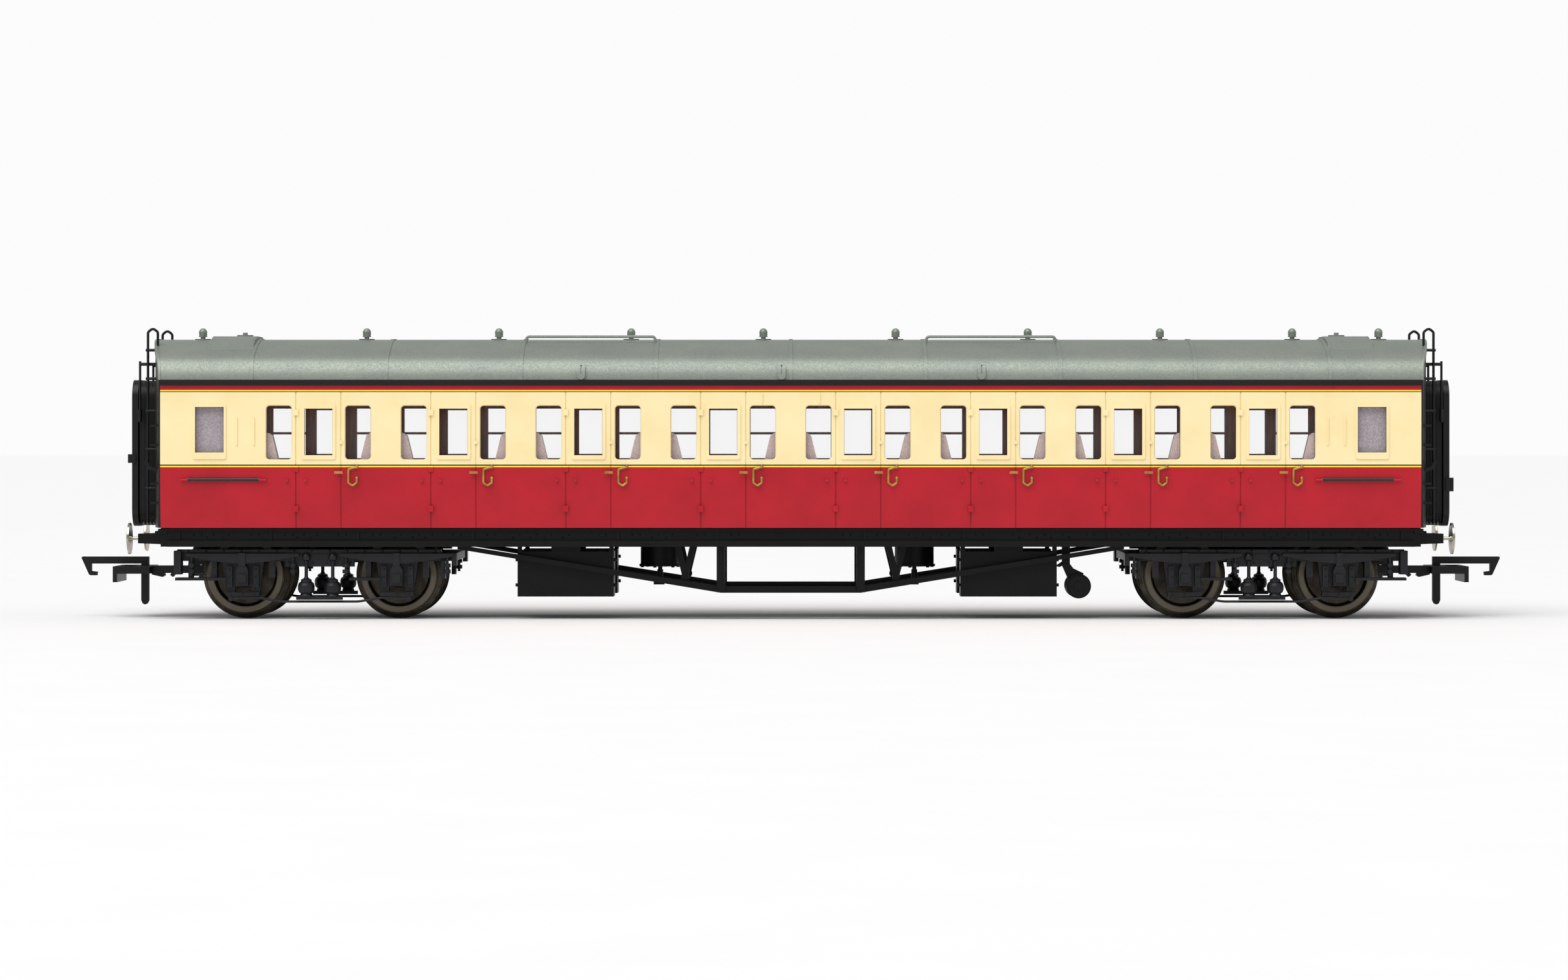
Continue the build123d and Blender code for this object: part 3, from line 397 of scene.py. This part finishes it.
moquette, tree, shader = new_finish("moquette")
place = place_of(tree)
weave = tree.nodes.new("ShaderNodeTexWave")
weave.wave_type = "BANDS"
weave.bands_direction = "DIAGONAL"
tree.links.new(place, weave.inputs["Vector"])
weave.inputs["Scale"].default_value = 1.1 / mm
weave.inputs["Distortion"].default_value = 1.5
pile = speckle(tree, place, 5.0)
cloth = blend(tree, stretch_range(tree, pile, 0.0, 1.0), linear("D8C2BC"), linear("BCA29E"))
plug(tree, shader.inputs["Base Color"], cloth)
plug(tree, shader.inputs["Roughness"], stretch_range(tree, pile, 0.75, 0.92))
plug(tree, shader.inputs["Normal"], relief(tree, weave.outputs["Fac"], 0.05, 0.6))
shader.inputs["Sheen Weight"].default_value = 0.25

# %% [markdown]
# ## Turned metal
# Wheels and buffer heads are turned on a lathe, so their marks are rings about an axis.
# All four axles mirror onto one another, which lets one formula find the distance to the
# nearest axle from X and Z alone. The wheels are chemically darkened to bronze, and the
# rim's face is left a little brighter.

# %% Rings round the axles and round the buffers
def ring_distance(tree, across, up):
    """Distance in millimetres from an axis, from two offsets from it."""
    squares = reckon(tree, "ADD", reckon(tree, "MULTIPLY", across, across),
                     reckon(tree, "MULTIPLY", up, up))
    return reckon(tree, "SQRT", squares)


def turned_marks(tree, distance, per_mm):
    wave = reckon(tree, "SINE", reckon(tree, "MULTIPLY", distance, per_mm * math.tau))
    return reckon(tree, "MULTIPLY_ADD", wave, 0.5, 0.5)


screw_head_radius = 2.6           # in millimetres, as are the radii of the rim
rim_radii = (5.9, 7.2)
bogie_x = (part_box("pivot_screws")[1].x - screw_head_radius * mm) / mm
axle_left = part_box("axle_left_outer")
axle_z = (axle_left[0].z + axle_left[1].z) / 2 / mm
axle_offset = -(axle_left[0].x + axle_left[1].x) / 2 / mm - bogie_x
print(f"bogies at {bogie_x:.1f} mm, axles {axle_offset:.1f} mm each side, {axle_z:.1f} mm up")

wheel_bronze, tree, shader = new_finish("wheel_bronze")
x, y, z = coordinates_mm(tree)
from_bogie = reckon(tree, "ABSOLUTE", reckon(tree, "SUBTRACT", reckon(tree, "ABSOLUTE", x), bogie_x))
across = reckon(tree, "SUBTRACT", from_bogie, axle_offset)
radius = ring_distance(tree, across, reckon(tree, "SUBTRACT", z, axle_z))
marks = turned_marks(tree, radius, 4.0)
stain = stretch_range(tree, speckle(tree, place_of(tree), 0.6), 0.0, 1.0)
bronze = blend(tree, stain, linear("4B453C"), linear("2C2823"))
rim = within(tree, radius, *rim_radii)
bronze = blend(tree, reckon(tree, "MULTIPLY", rim, 0.8), bronze, linear("6E675B"))
plug(tree, shader.inputs["Base Color"], bronze)
plug(tree, shader.inputs["Roughness"], stretch_range(tree, marks, 0.34, 0.44))
plug(tree, shader.inputs["Normal"], relief(tree, marks, 0.012))
shader.inputs["Metallic"].default_value = 0.85

buffer_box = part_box("buffer_left_near")
buffer_y = -(buffer_box[0].y + buffer_box[1].y) / 2 / mm
buffer_z = (buffer_box[0].z + buffer_box[1].z) / 2 / mm
buffer_bright, tree, shader = new_finish("buffer_bright")
x, y, z = coordinates_mm(tree)
across = reckon(tree, "SUBTRACT", reckon(tree, "ABSOLUTE", y), buffer_y)
radius = ring_distance(tree, across, reckon(tree, "SUBTRACT", z, buffer_z))
marks = turned_marks(tree, radius, 3.0)
wipe = stretch_range(tree, speckle(tree, place_of(tree), 0.9), 0.0, 1.0)
plug(tree, shader.inputs["Base Color"], blend(tree, wipe, linear("C9C2B4"), linear("9C9588")))
plug(tree, shader.inputs["Roughness"], stretch_range(tree, marks, 0.22, 0.32))
plug(tree, shader.inputs["Normal"], relief(tree, marks, 0.01))
shader.inputs["Metallic"].default_value = 1.0

# %% [markdown]
# ## Two-tone handrails and folded rubber
# The long handrails are black wire, but their end brackets were sprayed with the side.
# The gangway's folded rubber is a dull black that carries a little dust in its folds.

# %% Handrail and bellows finishes
bare_wire = (96.1, 109.0)         # millimetres from the middle, between the brackets
handrail_paint, tree, shader = new_finish("handrail_paint")
x, y, z = coordinates_mm(tree)
wire = within(tree, reckon(tree, "ABSOLUTE", x), *bare_wire)
fine = speckle(tree, place_of(tree), 5.0)
plug(tree, shader.inputs["Base Color"], blend(tree, wire, crimson, linear("1B1614")))
plug(tree, shader.inputs["Roughness"], stretch_range(tree, fine, 0.32, 0.48))
plug(tree, shader.inputs["Normal"], relief(tree, fine, 0.01))

folded_rubber = sprayed("folded_rubber", linear("0A0A0B"), linear("060606"), 0.5, grain=3.0,
                        depth=0.02, gloss=0.35)

# %% [markdown]
# ## Giving each solid its finish
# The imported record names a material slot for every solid, so one table from slot to
# finish dresses the whole coach, and the few exceptions are named one by one.

# %% Slots and exceptions
finish_of_slot = {
    "side_paint": livery, "roof_paint": roof_paint, "clear_glazing": clear_glass,
    "frosted_glazing": frosted_glass, "gold_metal": gilt, "black_plastic": underframe_black,
    "black_fittings": fitting_black, "brown_plastic": brown_wood, "seat_plastic": moquette,
    "red_fittings": crimson_fitting, "steel": bright_steel, "buffer_metal": buffer_bright,
    "wheel_metal": wheel_bronze, "bogie_plastic": bogie_black, "cup_brass": brass,
    "rubber": folded_rubber,
}
slot_of_node = {part["node"]: part["material_slot"] for part in frame["record"]["subparts"]}
for name, solid in nodes.items():
    finish = finish_of_slot[slot_of_node[name]]
    if name == "side_handrails":
        finish = handrail_paint
    solid.data.materials.clear()
    solid.data.materials.append(finish)
print("finished solids:", len(nodes))

# %% [markdown]
# ## Rivets by the hundred
# A real underframe is riveted together, and its moulding carries every head. Each head is
# the same little dome on a different spot, which is work for Geometry Nodes: a mesh holds
# only the spots, each with the direction it faces, and the tree sets one dome on each.
# The result is turned into a plain mesh, one for each body that carries rivets.

# %% The rivet tree
def add_input(tree, name, kind, value):
    socket = tree.interface.new_socket(name, in_out="INPUT", socket_type=kind)
    socket.default_value = value
    return socket.identifier


def finish_input(tree):
    return tree.interface.new_socket("Finish", in_out="INPUT",
                                     socket_type="NodeSocketMaterial").identifier


def hand_over(tree, shape, start, end):
    """Make the shape real, paint it and send it out, as every tree here ends."""
    realize = tree.nodes.new("GeometryNodeRealizeInstances")
    paint = tree.nodes.new("GeometryNodeSetMaterial")
    tree.links.new(shape, realize.inputs["Geometry"])
    tree.links.new(realize.outputs["Geometry"], paint.inputs["Geometry"])
    tree.links.new(start.outputs["Finish"], paint.inputs["Material"])
    tree.links.new(paint.outputs["Geometry"], end.inputs["Geometry"])


def rivet_tree():
    tree = bpy.data.node_groups.new("rivet_heads", "GeometryNodeTree")
    tree.interface.new_socket("Geometry", in_out="INPUT", socket_type="NodeSocketGeometry")
    names = {"radius": add_input(tree, "Head radius", "NodeSocketFloat", 0.2 * mm),
             "height": add_input(tree, "Head height", "NodeSocketFloat", 0.12 * mm),
             "finish": finish_input(tree)}
    tree.interface.new_socket("Geometry", in_out="OUTPUT", socket_type="NodeSocketGeometry")
    start = tree.nodes.new("NodeGroupInput")
    end = tree.nodes.new("NodeGroupOutput")
    dome = tree.nodes.new("GeometryNodeMeshUVSphere")
    dome.inputs["Segments"].default_value = 10
    dome.inputs["Rings"].default_value = 6
    dome.inputs["Radius"].default_value = 1.0
    facing = tree.nodes.new("GeometryNodeInputNamedAttribute")
    facing.data_type = "FLOAT_VECTOR"
    facing.inputs["Name"].default_value = "facing"
    turn = tree.nodes.new("FunctionNodeAlignRotationToVector")
    turn.axis = "Z"
    spread = tree.nodes.new("ShaderNodeCombineXYZ")
    place = tree.nodes.new("GeometryNodeInstanceOnPoints")
    link = tree.links.new
    link(start.outputs["Geometry"], place.inputs["Points"])
    link(dome.outputs["Mesh"], place.inputs["Instance"])
    link(facing.outputs["Attribute"], turn.inputs["Vector"])
    link(turn.outputs["Rotation"], place.inputs["Rotation"])
    link(start.outputs["Head radius"], spread.inputs["X"])
    link(start.outputs["Head radius"], spread.inputs["Y"])
    link(start.outputs["Head height"], spread.inputs["Z"])
    link(spread.outputs[0], place.inputs["Scale"])
    hand_over(tree, place.outputs["Instances"], start, end)
    return tree, names


rivets, rivet_inputs = rivet_tree()
print("rivet tree nodes:", len(rivets.nodes))

# %% Setting rivets on a body
def reach_of(piece):
    """The low and high corner of a piece, in millimetres."""
    return [round(pick(vertex.co[axis] for vertex in piece.data.vertices) / mm, 2)
            for pick in (min, max) for axis in range(3)]


def plain_copy(name, worker):
    """What a worker's modifiers make, as a plain mesh object at the origin."""
    graph = bpy.context.evaluated_depsgraph_get()
    mesh = bpy.data.meshes.new_from_object(worker.evaluated_get(graph))
    mesh.name = name
    piece = bpy.data.objects.new(name, mesh)
    scene.collection.objects.link(piece)
    used = worker.data
    bpy.data.objects.remove(worker)
    bpy.data.meshes.remove(used)
    return piece


def set_rivets(name, body, finish, spots, radius, height):
    """Spots are pairs of a point and the direction it faces, in millimetres."""
    mesh = bpy.data.meshes.new(name + "_spots")
    mesh.from_pydata([[part * mm for part in point] for point, facing in spots], [], [])
    attribute = mesh.attributes.new("facing", "FLOAT_VECTOR", "POINT")
    for index, (point, facing) in enumerate(spots):
        attribute.data[index].vector = facing
    worker = bpy.data.objects.new(name + "_worker", mesh)
    scene.collection.objects.link(worker)
    modifier = worker.modifiers.new("rivets", "NODES")
    modifier.node_group = rivets
    modifier[rivet_inputs["radius"]] = radius * mm
    modifier[rivet_inputs["height"]] = height * mm
    modifier[rivet_inputs["finish"]] = finish
    piece = plain_copy(name, worker)
    for face in piece.data.polygons:
        face.use_smooth = True
    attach(piece, body)
    print(f"{name}: {len(spots)} heads, {len(piece.data.polygons)} faces")
    return piece


near = (0, -1, 0)


def both_sides(spots):
    """The spots, and the same on the other side of the centre line."""
    return spots + [((x, -y, z), (a, -b, c)) for (x, y, z), (a, b, c) in spots]


def both_ends(spots):
    """The spots, and the same at the other end of the coach."""
    return spots + [((-x, y, z), (-a, b, c)) for (x, y, z), (a, b, c) in spots]


# %% [markdown]
# ## Rivets on the underframe
# The solebar's web carries pairs beside each upright bracket and a few between them, all
# just under the body. The tank covers on the roof are held down along three edges.

# %% Solebar, tank cover and end rivets
web_y = -16.0
web_z = 15.45
web_end = 112.6
brackets = (13.4, 31.3, 57.6, 78.4, 94.2, 110.8)
beside_bracket = (-4.0, -2.6, 2.2, 3.6)
between_brackets = (21.4, 24.0, 40.2, 43.4, 46.0, 49.2, 65.0, 67.4, 70.6, 85.8, 88.2, 101.8, 104.6)
solebar_spots = []
for bracket in brackets:
    for offset in beside_bracket:
        solebar_spots.append(((bracket + offset, web_y, web_z), near))
for x in between_brackets:
    solebar_spots.append(((x, web_y, web_z), near))
    solebar_spots.append(((x + 1.2, web_y, web_z - 0.5), near))
solebar_spots = [spot for spot in solebar_spots if spot[0][0] < web_end]
set_rivets("solebar_rivets", "coach", underframe_black,
           both_ends(both_sides(solebar_spots)), 0.2, 0.13)

cover_low, cover_high = 98.0, 106.1
foot_y, foot_z = -13.6, 48.55     # where the cover's steep part starts
knee_y, knee_z = -9.0, 50.7       # where it meets the flatter top
top_run, top_rise = 5.0, 0.95
lip_z = 48.15
steep_facing = tuple(Vector((0, foot_z - knee_z, knee_y - foot_y)).normalized())
top_facing = (0, -0.187, 0.982)
lip_rivets, end_rivets = 11, 6
cover_spots = [((cover_low + 0.5 + 0.72 * step, foot_y, lip_z), near) for step in range(lip_rivets)]
for x in (cover_low + 0.4, cover_high - 0.4):
    for step in range(end_rivets):
        share = (step + 0.5) / end_rivets
        steep_place = (x, foot_y + (knee_y - foot_y) * share, foot_z + (knee_z - foot_z) * share)
        cover_spots.append((steep_place, steep_facing))
        cover_spots.append(((x, knee_y + top_run * share, knee_z + top_rise * share), top_facing))
set_rivets("tank_cover_rivets", "coach", roof_paint,
           both_ends(both_sides(cover_spots)), 0.13, 0.09)

# %% [markdown]
# ## Bolts on the bogies
# Each axle runs in a guide with three bolts up each side, and the bogie's top plate is
# riveted to its frame. The spots are the same on both bogies, so they are written once,
# from the bogie's own middle, and turned to the far bogie.

# %% Guide bolts and frame rivets
guide_y, plate_y, beam_y, keep_y = -14.4, -14.6, -13.6, -14.3
plate_z, beam_z, keep_z = 12.45, 11.2, 4.58
guide_heights = (6.45, 7.8, 9.15)
bogie_spots = []
for axle in (-axle_offset, axle_offset):
    for lean in (-2.4, 2.4):
        for z in guide_heights:
            bogie_spots.append(((axle + lean, guide_y, z), near))
    for x in (-7.9, -6.4, -5.2, 5.2, 6.4, 7.9):
        bogie_spots.append(((axle + x, beam_y, beam_z), near))
    for x in (-2.2, 0.0, 2.2):
        bogie_spots.append(((axle + x, keep_y, keep_z), near))
for x, z in ((-1.3, 10.3), (1.3, 10.3), (-1.3, 11.6), (1.3, 11.6), (-5.6, 10.4), (5.6, 10.4)):
    bogie_spots.append(((x, guide_y, z), near))
for step in range(15):
    bogie_spots.append(((-23.8 + 3.2 * step, plate_y, plate_z), near))
for body, place in (("bogie_left", -bogie_x), ("bogie_right", bogie_x)):
    turn = 1 if place < 0 else -1
    placed = [((place + turn * x, y, z), facing) for (x, y, z), facing in bogie_spots]
    set_rivets(body + "_rivets", body, bogie_black, both_sides(placed), 0.21, 0.14)

# %% [markdown]
# ## The gangway's folds
# Between two coaches hangs a bellows: one wall of rubber, folded to and fro, that runs
# round the doorway as an arch. Its shape is a rule. The wall's section is a zigzag, and
# the path is a rectangle with round corners. Geometry Nodes can draw the zigzag as a line
# of points, close it into a section and sweep it round the path, so the number of folds
# and their depth stay as numbers that can be changed.

# %% The bellows tree
def bellows_tree():
    tree = bpy.data.node_groups.new("folded_arch", "GeometryNodeTree")
    tree.interface.new_socket("Geometry", in_out="INPUT", socket_type="NodeSocketGeometry")
    names = {}
    for label in ("Width", "Height", "Corner radius", "Fold depth", "Length", "Wall"):
        names[label] = add_input(tree, label, "NodeSocketFloat", 1 * mm)
    names["Folds"] = add_input(tree, "Folds", "NodeSocketInt", 5)
    names["Finish"] = finish_input(tree)
    tree.interface.new_socket("Geometry", in_out="OUTPUT", socket_type="NodeSocketGeometry")
    start, end = tree.nodes.new("NodeGroupInput"), tree.nodes.new("NodeGroupOutput")
    given, link = start.outputs, tree.links.new

    arch = tree.nodes.new("GeometryNodeCurvePrimitiveQuadrilateral")
    link(given["Width"], arch.inputs["Width"])
    link(given["Height"], arch.inputs["Height"])
    rounded = tree.nodes.new("GeometryNodeFilletCurve")
    rounded.mode = "POLY"
    rounded.inputs["Count"].default_value = 8
    link(arch.outputs[0], rounded.inputs["Curve"])
    link(given["Corner radius"], rounded.inputs["Radius"])

    index = tree.nodes.new("GeometryNodeInputIndex").outputs[0]
    last_fold = reckon(tree, "MULTIPLY", given["Folds"], 2.0)
    step = reckon(tree, "DIVIDE", given["Length"], last_fold)
    on_return = reckon(tree, "GREATER_THAN", index, reckon(tree, "ADD", last_fold, 0.5))
    back_at_start = reckon(tree, "GREATER_THAN", index, reckon(tree, "ADD", last_fold, 1.5))
    run = reckon(tree, "MULTIPLY", reckon(tree, "MINIMUM", index, last_fold), step)
    run = reckon(tree, "MULTIPLY", run, reckon(tree, "SUBTRACT", 1.0, back_at_start))
    odd = reckon(tree, "MODULO", index, 2.0)
    fold = reckon(tree, "MULTIPLY", reckon(tree, "MULTIPLY", odd, given["Fold depth"]),
                  reckon(tree, "SUBTRACT", 1.0, on_return))
    inwards = reckon(tree, "MULTIPLY", on_return, given["Wall"])
    section_place = tree.nodes.new("ShaderNodeCombineXYZ")
    link(reckon(tree, "SUBTRACT", fold, inwards), section_place.inputs["X"])
    link(run, section_place.inputs["Y"])

    points = tree.nodes.new("GeometryNodeMeshLine")
    link(reckon(tree, "ADD", last_fold, 3.0), points.inputs["Count"])
    moved = tree.nodes.new("GeometryNodeSetPosition")
    link(points.outputs[0], moved.inputs["Geometry"])
    link(section_place.outputs[0], moved.inputs["Position"])
    section = tree.nodes.new("GeometryNodeMeshToCurve")
    link(moved.outputs[0], section.inputs["Mesh"])
    closed = tree.nodes.new("GeometryNodeSetSplineCyclic")
    closed.inputs["Cyclic"].default_value = True
    link(section.outputs[0], closed.inputs["Geometry"])

    swept = tree.nodes.new("GeometryNodeCurveToMesh")
    link(rounded.outputs[0], swept.inputs["Curve"])
    link(closed.outputs[0], swept.inputs["Profile Curve"])
    hand_over(tree, swept.outputs[0], start, end)
    return tree, names


bellows, bellows_inputs = bellows_tree()
print("bellows tree nodes:", len(bellows.nodes))

# %% Folding both gangways
folds_low, folds_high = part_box("gangway_bellows")
valley_half_width, fold_depth = 6.9 * mm, 0.7 * mm
arch_bottom, arch_top = folds_low.z + fold_depth, folds_high.z - fold_depth
fold_start, fold_end = 115.6 * mm, folds_high.x
bellows_sizes = {
    "Width": 2 * valley_half_width, "Height": arch_top - arch_bottom, "Corner radius": 2.4 * mm,
    "Fold depth": fold_depth, "Length": fold_end - fold_start, "Wall": 1.6 * mm, "Folds": 6,
    "Finish": folded_rubber,
}


def folded_gangway(name, quarter_turn):
    """One swept bellows, stood upright and turned to face along the coach."""
    worker = bpy.data.objects.new(name + "_worker", bpy.data.meshes.new(name + "_start"))
    scene.collection.objects.link(worker)
    modifier = worker.modifiers.new("folds", "NODES")
    modifier.node_group = bellows
    for label, value in bellows_sizes.items():
        modifier[bellows_inputs[label]] = value
    piece = plain_copy(name, worker)
    shape = bmesh.new()
    shape.from_mesh(piece.data)
    raise_up = Matrix.Translation((0, 0, (arch_bottom + arch_top) / 2))
    stand = Matrix.Rotation(quarter_turn, 4, "Z") @ Matrix.Rotation(math.radians(90), 4, "X")
    lowest = min(vertex.co.z for vertex in shape.verts)
    push = Matrix.Translation((0, 0, fold_start - lowest))
    bmesh.ops.transform(shape, matrix=raise_up @ stand @ push, verts=shape.verts)
    bmesh.ops.remove_doubles(shape, verts=shape.verts, dist=0.001 * mm)
    if shape.calc_volume(signed=True) < 0:
        bmesh.ops.reverse_faces(shape, faces=shape.faces)
    print(name, "wraps", round(shape.calc_volume(signed=True) / mm ** 3, 1), "cubic mm of rubber")
    shape.to_mesh(piece.data)
    shape.free()
    return piece


for end_name, quarter_turn in (("left", math.radians(-90)), ("right", math.radians(90))):
    gangway = folded_gangway("gangway_folds_" + end_name, quarter_turn)
    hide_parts("gangway_bellows")
    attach(gangway, "coach")
    print(gangway.name, "reaches", reach_of(gangway), "mm")

# %% [markdown]
# ## Buffer springs
# Inside each buffer's housing a wound spring pushes the head back out. A spring gets
# shorter as the head goes in, and no turned or moved solid can show that. Each spring is
# drawn as a spiral with a round wire, at a fixed length.

# %% The coil tree
spring_turns = 5.0
spring_length = 2.5 * mm
spring_wire = 0.09 * mm
coil_radius = 0.5 * mm


def coil_tree():
    tree = bpy.data.node_groups.new("wound_spring", "GeometryNodeTree")
    tree.interface.new_socket("Geometry", in_out="INPUT", socket_type="NodeSocketGeometry")
    measures = (("Turns", spring_turns), ("Coil radius", coil_radius),
                ("Length", spring_length), ("Wire radius", spring_wire))
    names = {label: add_input(tree, label, "NodeSocketFloat", value) for label, value in measures}
    names["Finish"] = finish_input(tree)
    tree.interface.new_socket("Geometry", in_out="OUTPUT", socket_type="NodeSocketGeometry")
    start, end = tree.nodes.new("NodeGroupInput"), tree.nodes.new("NodeGroupOutput")
    given, link = start.outputs, tree.links.new
    spiral = tree.nodes.new("GeometryNodeCurveSpiral")
    spiral.inputs["Resolution"].default_value = 20
    link(given["Turns"], spiral.inputs["Rotations"])
    link(given["Coil radius"], spiral.inputs["Start Radius"])
    link(given["Coil radius"], spiral.inputs["End Radius"])
    link(given["Length"], spiral.inputs["Height"])
    wire_round = tree.nodes.new("GeometryNodeCurvePrimitiveCircle")
    wire_round.inputs["Resolution"].default_value = 8
    link(given["Wire radius"], wire_round.inputs["Radius"])
    swept = tree.nodes.new("GeometryNodeCurveToMesh")
    swept.inputs["Fill Caps"].default_value = True
    link(spiral.outputs[0], swept.inputs["Curve"])
    link(wire_round.outputs[0], swept.inputs["Profile Curve"])
    hand_over(tree, swept.outputs[0], start, end)
    return tree, names


coils, coil_inputs = coil_tree()
print("coil tree nodes:", len(coils.nodes))

# %% One spring in each housing
spring_high_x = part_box("buffer_springs")[1].x
stroke = {joint["name"]: joint["range_m"][1] for joint in frame["joints"] if joint["type"] == "slide"}


def wound_spring(buffer):
    """The spring behind one buffer, along X from the headstock to the buffer's collar."""
    low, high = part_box(buffer)
    outwards = 1 if high.x > 0 else -1
    worker = bpy.data.objects.new(buffer + "_spring_worker", bpy.data.meshes.new(buffer + "_start"))
    scene.collection.objects.link(worker)
    modifier = worker.modifiers.new("winding", "NODES")
    modifier.node_group = coils
    modifier[coil_inputs["Finish"]] = bright_steel
    piece = plain_copy(buffer + "_spring", worker)
    centre = ((low.y + high.y) / 2, (low.z + high.z) / 2)
    rear_x = outwards * (spring_high_x - spring_wire - spring_length)
    lay_down = Matrix.Rotation(math.radians(90) * outwards, 4, "Y")
    piece.data.transform(Matrix.Translation((rear_x, *centre)) @ lay_down)
    for face in piece.data.polygons:
        face.use_smooth = True
    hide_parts("buffer_springs")
    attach(piece, "coach")
    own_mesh(piece)
    return piece


for joint in stroke:
    spring = wound_spring(joint.replace("_travel", ""))
    print(spring.name, "reaches", reach_of(spring), "mm")

# %% [markdown]
# ## The floor
# A wide pale sheet, not quite white, so that the soft shadow under the wheels shows.

# %% Pale floor
floor_mesh = bpy.data.meshes.new("studio_floor")
reach = 6.0
corners = [(-reach, -reach, 0), (reach, -reach, 0), (reach, reach, 0), (-reach, reach, 0)]
floor_mesh.from_pydata(corners, [], [(0, 1, 2, 3)])
floor = bpy.data.objects.new("studio_floor", floor_mesh)
scene.collection.objects.link(floor)
paper, tree, shader = new_finish("studio_paper")
grain = speckle(tree, place_of(tree), 0.05)
plug(tree, shader.inputs["Base Color"], blend(tree, grain, linear("FAFAFA"), linear("F6F6F6")))
shader.inputs["Roughness"].default_value = 0.85
floor_mesh.materials.append(paper)
